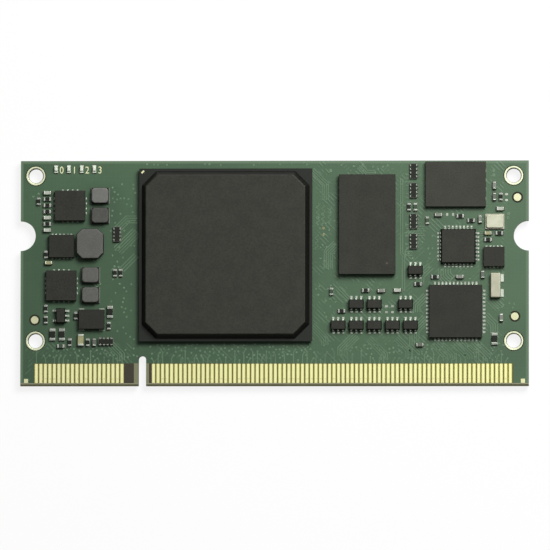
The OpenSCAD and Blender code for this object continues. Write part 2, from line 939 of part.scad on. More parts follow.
module octagon_plate(x, y, z, c) {
    linear_extrude(z)
        polygon([[-x / 2 + c, -y / 2], [x / 2 - c, -y / 2], [x / 2, -y / 2 + c], [x / 2, y / 2 - c],
            [x / 2 - c, y / 2], [-x / 2 + c, y / 2], [-x / 2, y / 2 - c], [-x / 2, -y / 2 + c]]);
}

// Wound coil between two flanges, round a post
module wound_ring(post, outer, height) {
    rotate_extrude()
        translate([post / 2, 0])
            square([(outer - post) / 2, height]);
}

coil_ring = coil_width - 2 * winding_margin;
coil_inner_h = coil_height - terminal_thickness - 2 * flange_thickness;
choke_ring = choke_length - 2 * winding_margin;
choke_inner_h = choke_height - terminal_thickness - 2 * flange_thickness;

module small_inductor_cores() {
    color("dimgray")
        for (p = coil_at)
            seat(p)
                translate([0, 0, terminal_thickness]) {
                    block(coil_length - 2 * terminal_thickness, coil_width, flange_thickness);
                    cylinder(d = coil_post, h = coil_height - terminal_thickness - flange_thickness / 2);
                    translate([0, 0, flange_thickness + coil_inner_h])
                        round_plate(coil_length - 2 * coil_flange_step, coil_width,
                            flange_thickness, coil_corner);
                }
}

module small_inductor_coils() {
    color("peru")
        for (p = coil_at)
            seat(p)
                translate([0, 0, terminal_thickness + flange_thickness])
                    wound_ring(coil_post, coil_ring, coil_inner_h);
}

// Folded end plates under the foot flange
module small_inductor_terminals() {
    color("silver")
        for (p = coil_at)
            seat(p)
                on_sides([0, 180])
                    translate([coil_length / 2, coil_width / 2, 0])
                        rotate([90, 0, 0])
                            linear_extrude(coil_width)
                                polygon([[0, 0], [0, terminal_thickness + flange_thickness],
                                    [-terminal_thickness, terminal_thickness + flange_thickness],
                                    [-terminal_thickness, terminal_thickness],
                                    [-coil_terminal, terminal_thickness], [-coil_terminal, 0]]);
}

module large_inductor_core() {
    color("dimgray")
        seat(choke_at)
            translate([0, 0, terminal_thickness]) {
                octagon_plate(choke_length, choke_width, flange_thickness, choke_bevel);
                cylinder(d = choke_post, h = choke_height - terminal_thickness - flange_thickness / 2);
                translate([0, 0, flange_thickness + choke_inner_h])
                    octagon_plate(choke_length, choke_width, flange_thickness, choke_bevel);
            }
}

module large_inductor_coil() {
    color("peru")
        seat(choke_at)
            translate([0, 0, terminal_thickness + flange_thickness])
                wound_ring(choke_post, choke_ring, choke_inner_h);
}

module large_inductor_terminals() {
    color("silver")
        seat(choke_at)
            choke_plates(terminal_thickness);
}

module choke_plates(thickness) {
    for (side = [-1, 1])
        translate([side * ((choke_length - choke_terminal) / 2 - choke_terminal_inset), 0, 0])
            block(choke_terminal, choke_width - 2 * choke_bevel, thickness);
}

// Crystals

module crystal_base() {
    color("tan")
        seat(crystal_at)
            difference() {
                block(crystal_length, crystal_width, crystal_base_h);
                corner_leads(crystal_length, crystal_width, lead_thickness / 2, 0);
            }
}

module crystal_lid() {
    color("wheat")
        seat(crystal_at)
            translate([0, 0, crystal_base_h])
                round_plate(crystal_length - 2 * crystal_rim, crystal_width - 2 * crystal_rim,
                    crystal_lid_h, 2 * crystal_rim);
}

module crystal_pads() {
    color("silver")
        seat(crystal_at)
            corner_leads(crystal_length, crystal_width, lead_thickness / 2, 0);
}

// Case of the tuning-fork crystal, cut away below for its tabs
module fork_crystal_case() {
    color("burlywood")
        seat(fork_at)
            difference() {
                round_plate(fork_width, fork_length, fork_height, fork_corner);
                fork_tabs(fork_tab_t);
            }
}

module fork_tabs(thickness) {
    for (side = [-1, 1])
        translate([fork_tab_out / 2, side * ((fork_length - fork_tab_width) / 2 - fork_tab_inset), 0])
            block(fork_width + fork_tab_out, fork_tab_width, thickness);
}

module fork_crystal_tabs() {
    color("silver")
        seat(fork_at)
            fork_tabs(fork_tab_t);
}

// Chip parts

// Ceramic body of a chip, inside its terminals
module chip_core(length, width, height) {
    translate([0, 0, end_plating])
        block(length - 2 * end_plating, width - 2 * end_plating, height - 2 * end_plating);
}

// Plated terminals: caps over both ends of the ceramic
module chip_caps(length, width, height, end) {
    for (side = [-1, 1])
        difference() {
            translate([side * (length - end) / 2, 0, 0])
                block(end, width, height);
            chip_core(length, width, height);
        }
}

// Coat on top of a resistor between its terminals
module chip_coat(length, width, height, end) {
    translate([0, 0, height - end_plating])
        block(length - 2 * end, width - 2 * end_plating, coat_thickness);
}

// Land under a chip end with its hollow solder fillet, seen from the side
module joint_section(end) {
    translate([-end, 0])
        square([end + land_out, copper_thickness]);
    translate([0, copper_thickness])
        hollow(fillet_radius);
}

module chip_joint(half, width, end) {
    translate([half, width / 2, 0])
        rotate([90, 0, 0])
            linear_extrude(width)
                joint_section(end);
}

module chip_joints(length, width, end) {
    on_sides([0, 180])
        chip_joint(length / 2, width, end);
}

module array_joints() {
    on_sides([0, 180])
        row(4, array_pitch)
            rotate(90)
                chip_joint(array_width / 2, array_end_width, array_end);
}

module resistor_bodies() {
    color("white") {
        for (p = resistor_at)
            seat(p)
                chip_core(chip_length, chip_width, resistor_height);
        for (p = big_resistor_at)
            seat(p)
                chip_core(big_length, big_width, resistor_height);
    }
}

module resistor_coats() {
    color([0.1, 0.1, 0.1]) {
        for (p = resistor_at)
            seat(p)
                chip_coat(chip_length, chip_width, resistor_height, chip_end);
        for (p = big_resistor_at)
            seat(p)
                chip_coat(big_length, big_width, resistor_height, big_end);
    }
}

module resistor_ends() {
    color("silver") {
        for (p = resistor_at)
            seat(p)
                chip_caps(chip_length, chip_width, resistor_height, chip_end);
        for (p = big_resistor_at)
            seat(p)
                chip_caps(big_length, big_width, resistor_height, big_end);
    }
}

module capacitor_bodies() {
    color("tan") {
        for (p = capacitor_at)
            seat(p)
                chip_core(chip_length, chip_width, capacitor_height);
        for (p = big_capacitor_at)
            seat(p)
                chip_core(big_length, big_width, capacitor_height);
    }
}

module capacitor_ends() {
    color("silver") {
        for (p = capacitor_at)
            seat(p)
                chip_caps(chip_length, chip_width, capacitor_height, chip_end);
        for (p = big_capacitor_at)
            seat(p)
                chip_caps(big_length, big_width, capacitor_height, big_end);
    }
}

// Edge notches between the elements of a resistor array
module array_notches() {
    on_sides([0, 180])
        row(3, array_pitch)
            translate([0, array_width / 2, -cut])
                cylinder(d = array_notch, h = 3 * cut);
}

module array_core() {
    translate([0, 0, end_plating])
        difference() {
            block(array_length, array_width - 2 * end_plating, resistor_height - 2 * end_plating);
            array_notches();
        }
}

// Blocks of metal over the ends of the elements, before the body is taken out of them
module array_caps(height) {
    on_sides([0, 180])
        row(4, array_pitch)
            translate([0, (array_width - array_end) / 2, 0])
                block(array_end_width, array_end, height);
}

module array_bodies() {
    color("white")
        for (p = array_at)
            seat(p)
                array_core();
}

// Coat over the whole top of an array, cut out round its terminals and notches
module array_coats() {
    color([0.1, 0.1, 0.1])
        for (p = array_at)
            seat(p)
                difference() {
                    translate([0, 0, resistor_height - end_plating])
                        block(array_length - 2 * array_coat_inset, array_width - 2 * array_coat_inset,
                            coat_thickness);
                    array_caps(resistor_height + cut);
                    array_notches();
                }
}

module array_ends() {
    color("silver")
        for (p = array_at)
            seat(p)
                difference() {
                    array_caps(resistor_height);
                    array_core();
                }
}

// Status lamps

module at_lamps() {
    for (i = [0 : 3])
        seat([lamp_at[0] + i * lamp_pitch, lamp_at[1], 90])
            children();
}

module lamp_bases() {
    color("white")
        at_lamps()
            chip_core(chip_length, chip_width, lamp_base_h);
}

module lamp_terminals() {
    color("silver")
        at_lamps()
            chip_caps(chip_length, chip_width, lamp_base_h, chip_end);
}

module lamp_lenses() {
    color("gainsboro")
        at_lamps()
            translate([0, 0, lamp_base_h - end_plating])
                moulded(chip_length - 2 * chip_end, chip_width - 2 * end_plating, lamp_lens_h, lamp_draft);
}

// Lands and solder

module component_lands() {
    color("silver") {
        place(flash_at) {
            on_sides([90, 270])
                land_side(flash_count, flash_pitch, flash_length / 2, flash_lead, flash_land);
            block(flash_pad, flash_width - 2 * pad_border, copper_thickness);
        }
        place(network_at)
            quad_lands(network_size, fine_pitch, fine_corner, fine_land);
        place(usb_at)
            quad_lands(usb_size, fine_pitch, fine_corner, fine_land);
        for (p = regulator_at)
            place(p)
                quad_lands(regulator_size, regulator_pitch, regulator_corner, short_land);
        place(clock_at)
            dual_lands(clock_length, clock_width);
        place(small_regulator_at)
            dual_lands(small_regulator_length, small_regulator_width);
        place(oscillator_at)
            corner_leads(oscillator_length, oscillator_width, copper_thickness, short_land);
        place(crystal_at)
            corner_leads(crystal_length, crystal_width, copper_thickness, 0);
        place(fork_at)
            fork_tabs(copper_thickness);
        place(choke_at)
            choke_plates(copper_thickness);
        for (p = coil_at)
            place(p)
                on_sides([0, 180])
                    translate([(coil_length - coil_terminal + coil_land) / 2, 0, 0])
                        block(coil_terminal + coil_land, coil_width, copper_thickness);
        for (p = gate_at)
            place(p)
                on_sides([0, 180])
                    gate_lands([-1, 0, 1]);
        place(supervisor_at) {
            gate_lands([-1, 1]);
            rotate(180)
                gate_lands([-1, 0, 1]);
        }
        for (p = bare_at)
            place(p)
                on_sides([0, 180])
                    translate([chip_length / 2 - chip_end / 2, 0, 0])
                        block(chip_end + 2 * land_lip, bare_land, copper_thickness);
    }
}

module quad_lands(size, pitch, corner, out) {
    on_sides([0, 90, 180, 270])
        land_side(per_side(size, pitch, corner), pitch, size / 2, lead_width, out);
    block(size - 2 * pad_border, size - 2 * pad_border, copper_thickness);
}

module dual_lands(length, width) {
    on_sides([0, 180])
        land_side(per_side(length, fine_pitch, dual_corner), fine_pitch, width / 2, lead_width, short_land);
    block(length - 2 * pad_gap, width - 2 * pad_border, copper_thickness);
}

module solder_joints() {
    color("silver") {
        for (p = concat(resistor_at, capacitor_at))
            place(p)
                chip_joints(chip_length, chip_width, chip_end);
        for (p = concat(big_resistor_at, big_capacitor_at))
            place(p)
                chip_joints(big_length, big_width, big_end);
        for (i = [0 : 3])
            place([lamp_at[0] + i * lamp_pitch, lamp_at[1], 90])
                chip_joints(chip_length, chip_width, chip_end);
        for (p = array_at)
            place(p)
                array_joints();
        seat(network_at)
            quad_toes(network_size, fine_pitch, fine_corner, 0, fine_land);
        seat(usb_at)
            quad_toes(usb_size, fine_pitch, fine_corner, usb_lead_tip, fine_land);
        for (p = regulator_at)
            seat(p)
                quad_toes(regulator_size, regulator_pitch, regulator_corner, 0, short_land);
        seat(clock_at)
            dual_toes(clock_length, clock_width);
        seat(small_regulator_at)
            dual_toes(small_regulator_length, small_regulator_width);
    }
}

// Underside

// Bypass capacitors hang from the underside, so each is turned over about X
module at_bypass() {
    for (i = [1 : bypass_rows], j = [1 : bypass_rows])
        translate([at_x(fpga_at[0]) + (i - (bypass_rows + 1) / 2) * bypass_pitch,
            at_y(fpga_at[1]) + (j - (bypass_rows + 1) / 2) * bypass_pitch, under_z])
            rotate([180, 0, 90 * (i % 2)])
                children();
    for (side = [-1, 1], j = [1 : memory_bypass_rows])
        translate([at_x(memory_at[0]) + side * memory_bypass_offset,
            at_y(memory_at[1]) + (j - (memory_bypass_rows + 1) / 2) * memory_bypass_pitch, under_z])
            rotate([180, 0, 0])
                children();
}

module bypass_bodies() {
    color("tan")
        at_bypass()
            translate([0, 0, copper_thickness])
                chip_core(chip_length, chip_width, capacitor_height);
}

module bypass_ends() {
    color("silver")
        at_bypass()
            translate([0, 0, copper_thickness])
                chip_caps(chip_length, chip_width, capacitor_height, chip_end);
}

module bypass_joints() {
    color("silver")
        at_bypass()
            chip_joints(chip_length, chip_width, chip_end);
}

circuit_board();
hole_plating();
front_contacts();
back_contacts();
corner_pads();
fiducials();
component_lands();
solder_joints();
fpga_substrate();
fpga_mould_cap();
fpga_solder_balls();
fpga_corner_mark();
memory_substrate();
memory_mould();
memory_solder_balls();
flash_body();
flash_leads();
network_chip_body();
network_chip_leads();
usb_chip_body();
usb_chip_leads();
clock_chip_body();
clock_chip_leads();
regulator_bodies();
regulator_leads();
small_regulator_body();
small_regulator_leads();
oscillator_body();
oscillator_pads();
logic_gate_bodies();
logic_gate_leads();
supervisor_body();
supervisor_leads();
small_inductor_cores();
small_inductor_coils();
small_inductor_terminals();
large_inductor_core();
large_inductor_coil();
large_inductor_terminals();
crystal_base();
crystal_lid();
crystal_pads();
fork_crystal_case();
fork_crystal_tabs();
lamp_bases();
lamp_lenses();
lamp_terminals();
resistor_bodies();
resistor_coats();
resistor_ends();
capacitor_bodies();
capacitor_ends();
array_bodies();
array_coats();
array_ends();
bypass_bodies();
bypass_ends();
bypass_joints();
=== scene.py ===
import math
import random

import bmesh
import bpy
from mathutils import Matrix, Vector


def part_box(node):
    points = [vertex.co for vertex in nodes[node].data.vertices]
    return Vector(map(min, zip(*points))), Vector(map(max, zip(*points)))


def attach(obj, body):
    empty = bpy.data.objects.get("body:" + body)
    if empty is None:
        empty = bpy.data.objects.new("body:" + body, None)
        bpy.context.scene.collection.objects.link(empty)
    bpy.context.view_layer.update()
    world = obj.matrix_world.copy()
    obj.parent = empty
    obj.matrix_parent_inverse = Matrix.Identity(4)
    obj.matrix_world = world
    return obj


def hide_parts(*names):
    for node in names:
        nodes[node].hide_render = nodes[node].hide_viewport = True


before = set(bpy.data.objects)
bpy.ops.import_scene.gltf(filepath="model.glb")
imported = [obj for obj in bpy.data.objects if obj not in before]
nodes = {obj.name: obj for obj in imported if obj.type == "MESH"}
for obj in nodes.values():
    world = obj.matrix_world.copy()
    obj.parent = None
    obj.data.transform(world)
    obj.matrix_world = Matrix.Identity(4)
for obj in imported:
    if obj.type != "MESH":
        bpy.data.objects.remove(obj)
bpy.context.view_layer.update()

mm = 0.001
scene = bpy.context.scene
scene.view_settings.view_transform = "Standard"
boardLow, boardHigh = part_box("circuit_board")
faceZ, underZ = boardHigh.z / mm, boardLow.z / mm  # the two faces of the board, in millimetres


# camera: far off with a long lens, nearly overhead, leaning a little to the contact edge and to the right
photoView = {"lean": (0.04, -0.065), "roll": 0.001, "lens": 600, "sensor": 36, "width": 73.1,
             "centre": (0.08, -0.23), "clip": (0.005, 10)}


def placeCamera(view):
    data = bpy.data.cameras.new("photoCamera")
    data.lens, data.sensor_width = view["lens"], view["sensor"]
    data.clip_start, data.clip_end = view["clip"]
    back = Vector((view["lean"][0], view["lean"][1], 1)).normalized()
    level = (Vector((1, 0, 0)) - back * back.x).normalized()
    right = level - back.cross(level) * view["roll"]  # the card lies a hair off level
    right.normalize()
    turn = Matrix((right, back.cross(right), back)).transposed()
    reach = view["width"] * mm * view["lens"] / view["sensor"]
    centre = Vector((view["centre"][0], view["centre"][1], faceZ)) * mm
    camera = bpy.data.objects.new("photoCamera", data)
    camera.location = centre + back * reach
    camera.rotation_euler = turn.to_euler()
    scene.collection.objects.link(camera)
    scene.camera = camera


# lamps: one soft box from the upper right, so that shadows fall to the lower left
studioLamps = {
    "softBox": {"place": (0.115, 0.155, 0.28), "size": 0.17, "power": 1.45},
}


def placeLamps(lamps):
    for name, lamp in lamps.items():
        data = bpy.data.lights.new(name, "AREA")
        data.size, data.energy = lamp["size"], lamp["power"]
        holder = bpy.data.objects.new(name, data)
        holder.location = lamp["place"]
        holder.rotation_euler = Vector(lamp["place"]).to_track_quat("Z", "Y").to_euler()
        scene.collection.objects.link(holder)


class Wire:  # one socket of a node tree, with sums written as sums
    def __init__(self, tree, socket):
        self.tree, self.socket = tree, socket

    def node(self, kind, settings, inputs, output=0):
        made = self.tree.nodes.new(kind)
        for key, value in settings.items():
            setattr(made, key, value)
        for key, value in inputs.items():
            self.feed(made.inputs[key], value)
        return Wire(self.tree, made.outputs[output])

    def feed(self, socket, value):
        if isinstance(value, Wire):
            self.tree.links.new(value.socket, socket)
        else:
            socket.default_value = value

    def sum(self, operation, *values):
        return self.node("ShaderNodeMath", {"operation": operation}, dict(enumerate(values)))

    def __add__(self, other):
        return self.sum("ADD", self, other)

    def __radd__(self, other):
        return self.sum("ADD", other, self)

    def __sub__(self, other):
        return self.sum("SUBTRACT", self, other)

    def __rsub__(self, other):
        return self.sum("SUBTRACT", other, self)

    def __mul__(self, other):
        return self.sum("MULTIPLY", self, other)

    def __gt__(self, other):
        return self.sum("GREATER_THAN", self, other)

    def __lt__(self, other):
        return self.sum("LESS_THAN", self, other)

    def wave(self, period):
        return self.sum("SINE", self * (2 * math.pi / period)) * 0.5 + 0.5

    def between(self, low, high):
        return (self > low) * (self < high)

    def rise(self, low, high):
        return self.node("ShaderNodeMapRange", {"interpolation_type": "SMOOTHSTEP"},
                         {"Value": self, "From Min": low, "From Max": high})

    def part(self, axis):
        return self.node("ShaderNodeSeparateXYZ", {}, {0: self}, axis)

    def stretched(self, x, y, z):
        return self.node("ShaderNodeVectorMath", {"operation": "MULTIPLY"}, {0: self, 1: (x, y, z)})

    def noise(self, scale, detail=2.0):
        return self.node("ShaderNodeTexNoise", {}, {"Vector": self, "Scale": scale, "Detail": detail})

    def mix(self, first, second):
        return self.node("ShaderNodeMix", {"data_type": "RGBA"}, {0: self, 6: first, 7: second}, 2)

    def bump(self, distance, strength=1.0):
        return self.node("ShaderNodeBump", {},
                         {"Height": self, "Strength": strength, "Distance": distance * mm})


def rgb(red, green, blue):
    return (red, green, blue, 1.0)


# a new finish: its material, and its Object coordinates in millimetres
def newFinish(name):
    material = bpy.data.materials.new(name)
    material.use_nodes = True
    tree = material.node_tree
    place = Wire(tree, tree.nodes.new("ShaderNodeTexCoord").outputs["Object"])
    return material, place.node("ShaderNodeVectorMath", {"operation": "SCALE"}, {0: place, "Scale": 1000.0})


def setFinish(material, place, **sockets):
    surface = material.node_tree.nodes["Principled BSDF"]
    for name, value in sockets.items():
        place.feed(surface.inputs[name.replace("_", " ")], value)
    return material


# background: white to the camera and in reflections, softer as light
backdrop = {"light": 0.12, "floorSize": 3.0, "floorWhite": 0.86, "bright": (0.15, 0.95, 0.27),
            "paper": (rgb(0.9, 0.9, 0.9), rgb(0.94, 0.94, 0.94)), "paperRough": 0.9}


def placeBackdrop(look):
    world = bpy.data.worlds.new("studioWorld")
    world.use_nodes = True
    tree = world.node_tree
    sky = tree.nodes["Background"]
    rays = tree.nodes.new("ShaderNodeLightPath")
    seen = Wire(tree, rays.outputs["Is Camera Ray"])
    mirrored = seen.sum("MAXIMUM", Wire(tree, rays.outputs["Is Glossy Ray"]),
                        Wire(tree, rays.outputs["Is Transmission Ray"]))
    aim = Wire(tree, tree.nodes.new("ShaderNodeTexCoord").outputs["Generated"])
    lit = aim.node("ShaderNodeVectorMath", {"operation": "DOT_PRODUCT"}, {0: aim, 1: look["bright"]}, 1)
    dim = lit.rise(-0.1, 1.2) * 0.9 + 0.05  # reflections are brightest to the back, as by a window
    both = seen.sum("MAXIMUM", seen, mirrored * dim)
    seen.feed(sky.inputs["Strength"], both.sum("MAXIMUM", both, look["light"]))
    sky.inputs["Color"].default_value = rgb(1, 1, 1)
    scene.world = world

    material, place = newFinish("floorPaper")
    tree = material.node_tree
    grain = place.noise(0.35, 4)
    setFinish(material, place, Base_Color=grain.mix(*look["paper"]), Roughness=look["paperRough"])
    rays = tree.nodes.new("ShaderNodeLightPath")
    glow = place.node("ShaderNodeEmission", {}, {"Color": rgb(1, 1, 1), "Strength": 1.0})
    part = Wire(tree, rays.outputs["Is Camera Ray"]) * look["floorWhite"]
    paper = Wire(tree, tree.nodes["Principled BSDF"].outputs[0])
    both = place.node("ShaderNodeMixShader", {}, {0: part, 1: paper, 2: glow})
    tree.links.new(both.socket, tree.nodes["Material Output"].inputs["Surface"])

    grid = bmesh.new()
    bmesh.ops.create_grid(grid, x_segments=1, y_segments=1, size=look["floorSize"] / 2)
    mesh = bpy.data.meshes.new("studioFloor")
    grid.to_mesh(mesh)
    grid.free()
    mesh.materials.append(material)
    floor = bpy.data.objects.new("studioFloor", mesh)
    scene.collection.objects.link(floor)


placeCamera(photoView)
placeLamps(studioLamps)
placeBackdrop(backdrop)
print("camera, lamps and backdrop placed")


# board: green mask over a woven laminate, bare round the contacts, routed at its edges, with painted light
# to the upper right and painted shade to the lower left
boardLook = {
    # the slope of 0.008 a millimetre on the mask tone is a painted light, lighter towards the upper right
    "maskDark": rgb(0.036, 0.083, 0.040), "maskLight": rgb(0.056, 0.115, 0.055), "mottleAndPaintedLight": 0.008,
    # painted shade over the mask: its colour, where it fades out across and up, and how deep it goes
    "paintedMaskShade": rgb(0.024, 0.058, 0.026), "paintedShadeAcross": (-18.5, -10), "paintedShadeUp": (2, 12),
    "paintedShadeDepth": 0.3,
    "rim": rgb(0.100, 0.165, 0.095), "rimWidth": 0.5, "line": rgb(0.085, 0.155, 0.084), "linePitch": 0.62,
    "bare": rgb(0.060, 0.057, 0.010), "dark": rgb(0.028, 0.023, 0.010), "routed": rgb(0.20, 0.20, 0.10),
    "bevel": rgb(0.24, 0.235, 0.15),
    "bankLeft": -31.98, "bankRight": 31.75, "bankTop": -11.98, "bankBottom": -14.62,
    "darkBands": ((-20.0, -18.66), (-16.66, -16.32)), "keyBand": (-18.66, -16.66),
    "key": rgb(0.18, 0.185, 0.10), "bareLight": rgb(0.095, 0.090, 0.020),
    "routedDark": rgb(0.10, 0.10, 0.05),
}


def boardFinish(look):
    material, place = newFinish("solderMaskBoard")
    x, y, z = place.part(0), place.part(1), place.part(2)
    mottleAndPaintedLight = place.noise(0.11, 3)
    cloth = (x.wave(0.52) * y.wave(0.44)) * 0.6 + (x.wave(0.37) * y.wave(0.61)) * 0.4
    # slow mottle, weave and speck of the mask, plus a painted light whose tone rises towards the upper right
    tone = mottleAndPaintedLight.rise(0.35, 0.65) * 0.45 + cloth * 0.2 + place.noise(3.2, 2) * 0.3 + (x + y) * look["mottleAndPaintedLight"]
    colour = tone.mix(look["maskDark"], look["maskLight"])
    paintedShade = (1 - x.rise(*look["paintedShadeAcross"])) * (1 - y.rise(*look["paintedShadeUp"]))  # painted shade, deeper to the lower left
    colour = (paintedShade * look["paintedShadeDepth"]).mix(colour, look["paintedMaskShade"])
    turn = place.noise(0.28, 1)
    rising, falling = (x - y).wave(look["linePitch"]), (x + y).wave(look["linePitch"])
    fine = turn.rise(0.44, 0.46).mix(rising, falling).part(0)
    fine = fine.rise(0.5, 0.9) * place.noise(0.75, 2).rise(0.48, 0.6)  # short runs of copper under the mask
    fine = fine * x.sum("MAXIMUM", x.rise(3, 7), y.rise(-9.0, -9.6)) * (1 - x.rise(30.2, 31.2))
    colour = (fine * 0.5).mix(colour, look["line"])
    halfX, halfY = boardHigh.x / mm, boardHigh.y / mm
    nearRim = x.sum("ABSOLUTE", x).sum("MAXIMUM", x.sum("ABSOLUTE", x) - halfX, y - halfY)
    colour = nearRim.rise(-look["rimWidth"], -look["rimWidth"] / 3).mix(colour, look["rim"])
    inBank = x.between(look["bankLeft"], look["bankRight"]) * y.between(look["bankBottom"], look["bankTop"])
    bevel = y < look["bankBottom"]
    bare = inBank.sum("MAXIMUM", inBank, bevel)
    laminate = (place.noise(5, 3) * 0.6 + cloth * 0.4).mix(look["bare"], look["bareLight"])
    colour = bevel.mix(bare.mix(colour, laminate), look["bevel"])
    colour = (inBank * x.between(*look["keyBand"])).mix(colour, look["key"])
    for low, high in look["darkBands"]:
        colour = (inBank * x.between(low, high)).mix(colour, look["dark"])
    routed = z.between(underZ + 0.03, faceZ - 0.03)
    layers = z.wave(0.125).rise(0.75, 1.0) * 0.5 + place.stretched(1, 1, 6).noise(4, 3) * 0.5
    colour = routed.mix(colour, layers.mix(look["routed"], look["routedDark"]))
    rough = 0.36 + place.noise(1.4, 4) * 0.14 + routed * 0.3 + bare * 0.2
    relief = cloth * 0.35 + place.noise(7, 3) * 0.4 + fine * 1.2 + routed * layers
    return setFinish(material, place, Base_Color=colour, Roughness=rough, Normal=relief.bump(0.012, 0.5),
                     Specular_IOR_Level=0.42)


# copper under the mask: the same green, a little lighter, in two tones
raisedLook = {
    "trace": ("maskedCopper", rgb(0.070, 0.134, 0.070), rgb(0.102, 0.176, 0.099)),
    "via": ("tentedVia", rgb(0.082, 0.150, 0.084), rgb(0.132, 0.215, 0.126)),
}


def raisedMaskFinish(name, dark, light):
    material, place = newFinish(name)
    tone = place.noise(0.5, 3)
    return setFinish(material, place, Base_Color=tone.rise(0.3, 0.7).mix(dark, light),
                     Roughness=0.34 + place.noise(6, 2) * 0.14, Normal=place.noise(9, 2).bump(0.006, 0.4),
                     Specular_IOR_Level=0.45)


# bare or plated metals: two tones, a roughness, and how the fine scratches are stretched
metalLook = {
    "flatGold": (rgb(0.51, 0.51, 0.29), rgb(0.62, 0.62, 0.38), 0.48, (3, 3, 3)),
    "markGold": (rgb(0.46, 0.46, 0.29), rgb(0.56, 0.56, 0.38), 0.48, (3, 3, 3)),
    "ringGold": (rgb(0.52, 0.55, 0.38), rgb(0.64, 0.67, 0.48), 0.5, (3, 3, 3)),
    "dullGold": (rgb(0.20, 0.20, 0.11), rgb(0.30, 0.29, 0.16), 0.5, (3, 3, 3)),
    "leadTin": (rgb(0.20, 0.225, 0.185), rgb(0.36, 0.395, 0.335), 0.44, (5, 5, 5)),
    "brightTin": (rgb(0.29, 0.32, 0.265), rgb(0.48, 0.525, 0.45), 0.42, (5, 5, 5)),
    "arrayTin": (rgb(0.16, 0.178, 0.145), rgb(0.30, 0.33, 0.275), 0.44, (5, 5, 5)),
    "paleTin": (rgb(0.46, 0.51, 0.42), rgb(0.70, 0.76, 0.64), 0.44, (5, 5, 5)),
    "dullTin": (rgb(0.07, 0.07, 0.06), rgb(0.13, 0.13, 0.12), 0.5, (5, 5, 5)),
    "solderShine": (rgb(0.20, 0.22, 0.18), rgb(0.37, 0.40, 0.345), 0.4, (4, 4, 4)),
    # a darker copy of the solder, a painted shade
    "solderPaintedShade": (rgb(0.06, 0.068, 0.052), rgb(0.13, 0.142, 0.115), 0.4, (4, 4, 4)),
    "lidMetal": (rgb(0.33, 0.34, 0.25), rgb(0.45, 0.46, 0.36), 0.48, (0.8, 6, 6)),
    "forkMetal": (rgb(0.30, 0.30, 0.225), rgb(0.40, 0.40, 0.31), 0.5, (6, 0.9, 6)),
    "windingCopper": (rgb(0.34, 0.13, 0.05), rgb(0.62, 0.28, 0.12), 0.30, (2, 2, 9)),
}


barrelPaintedShade = {"tone": rgb(0.03, 0.025, 0.015), "depth": 0.85, "inset": 0.02}  # painted shade inside the plated holes


def metalFinish(name, low, high, rough, grain):
    material, place = newFinish(name)
    blotch = place.noise(1.1, 3).rise(0.3, 0.7)
    scratch = place.stretched(*grain).noise(2.2, 4)
    colour = (blotch * 0.45 + scratch * 0.55).mix(low, high)
    if name == "ringGold":
        # painted shade on the barrel walls inside the holes
        barrel = place.part(2).between(underZ + barrelPaintedShade["inset"], faceZ - barrelPaintedShade["inset"])
        colour = (barrel * barrelPaintedShade["depth"]).mix(colour, barrelPaintedShade["tone"])
    return setFinish(material, place, Base_Color=colour, Metallic=1.0, Roughness=rough + scratch * 0.16,
                     Normal=scratch.bump(0.004, 0.35))


# moulded black epoxy, one tone for each package
mouldTones = {
    "mouldFpga": 0.014, "mouldMemory": 0.013, "mouldFlash": 0.021, "mouldNetwork": 0.006, "mouldUsb": 0.011,
    "mouldClock": 0.006, "mouldRegulator": 0.009, "mouldSmallRegulator": 0.006, "mouldOscillator": 0.0015,
    "mouldGate": 0.007,
}
mouldLook = {"top": {"mottle": 0.009, "shine": 0.36}, "wall": {"mottle": 0.003, "shine": 0.15}}
# the walls take a darker copy of the epoxy, a painted shade
paintedWallShadeTone = 0.006


def mouldFinish(name, tone, look):
    material, place = newFinish(name)
    speck = place.noise(5, 4)
    cloud = place.noise(0.5, 3)
    low, high = max(tone - look["mottle"], 0.0005), tone + look["mottle"]
    mottle = (speck * 0.75 + cloud * 0.25).rise(0.3, 0.7)
    colour = mottle.mix(rgb(low, low, low * 0.8), rgb(high, high, high * 0.8))
    relief = speck * 0.6 + place.noise(16, 2) * 0.4
    return setFinish(material, place, Base_Color=colour, Roughness=0.48 + speck * 0.24,
                     Normal=relief.bump(0.014, 0.5), Specular_IOR_Level=look["shine"],
                     Specular_Tint=rgb(0.98, 1.0, 0.87))


# chip carrier laminate: nearly black mask over a woven core that shows at the cut edge
substrateLook = {"low": rgb(0.008, 0.010, 0.007), "high": rgb(0.016, 0.018, 0.013),
                 "core": rgb(0.11, 0.10, 0.06), "skin": 0.02}


def substrateFinish(look):
    material, place = newFinish("chipSubstrate")
    x, y, z = place.part(0), place.part(1), place.part(2)
    cloth = x.wave(0.3) * y.wave(0.3)
    colour = (cloth * 0.5 + place.noise(4, 3) * 0.5).mix(look["low"], look["high"])
    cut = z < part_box("fpga_substrate")[1].z / mm - look["skin"]
    lines = cut * z.wave(0.14).rise(0.7, 1.0) * place.stretched(1, 1, 5).noise(6, 2)
    return setFinish(material, place, Base_Color=(lines * 0.5).mix(colour, look["core"]),
                     Roughness=0.5 + place.noise(3, 2) * 0.12, Normal=place.noise(12, 2).bump(0.006, 0.4),
                     Specular_IOR_Level=0.22)


# ferrite: pressed powder, lighter on the first small core, darker on the second
ferriteLook = {"low": rgb(0.046, 0.046, 0.040), "high": rgb(0.185, 0.188, 0.170), "lightFrom": (8.8, 9.2),
               "darkBand": (6.4, 8.9)}


def ferriteFinish(look):
    material, place = newFinish("pressedFerrite")
    y = place.part(1)
    powder = place.noise(6, 3)
    tone = powder * 0.5 + place.noise(0.9, 2) * 0.22
    tone = tone + y.rise(*look["lightFrom"]) * 0.35 - y.between(*look["darkBand"]) * 0.2
    colour = tone.mix(look["low"], look["high"])
    return setFinish(material, place, Base_Color=colour, Roughness=0.55 + powder * 0.2,
                     Normal=powder.bump(0.014, 0.5), Specular_IOR_Level=0.3)


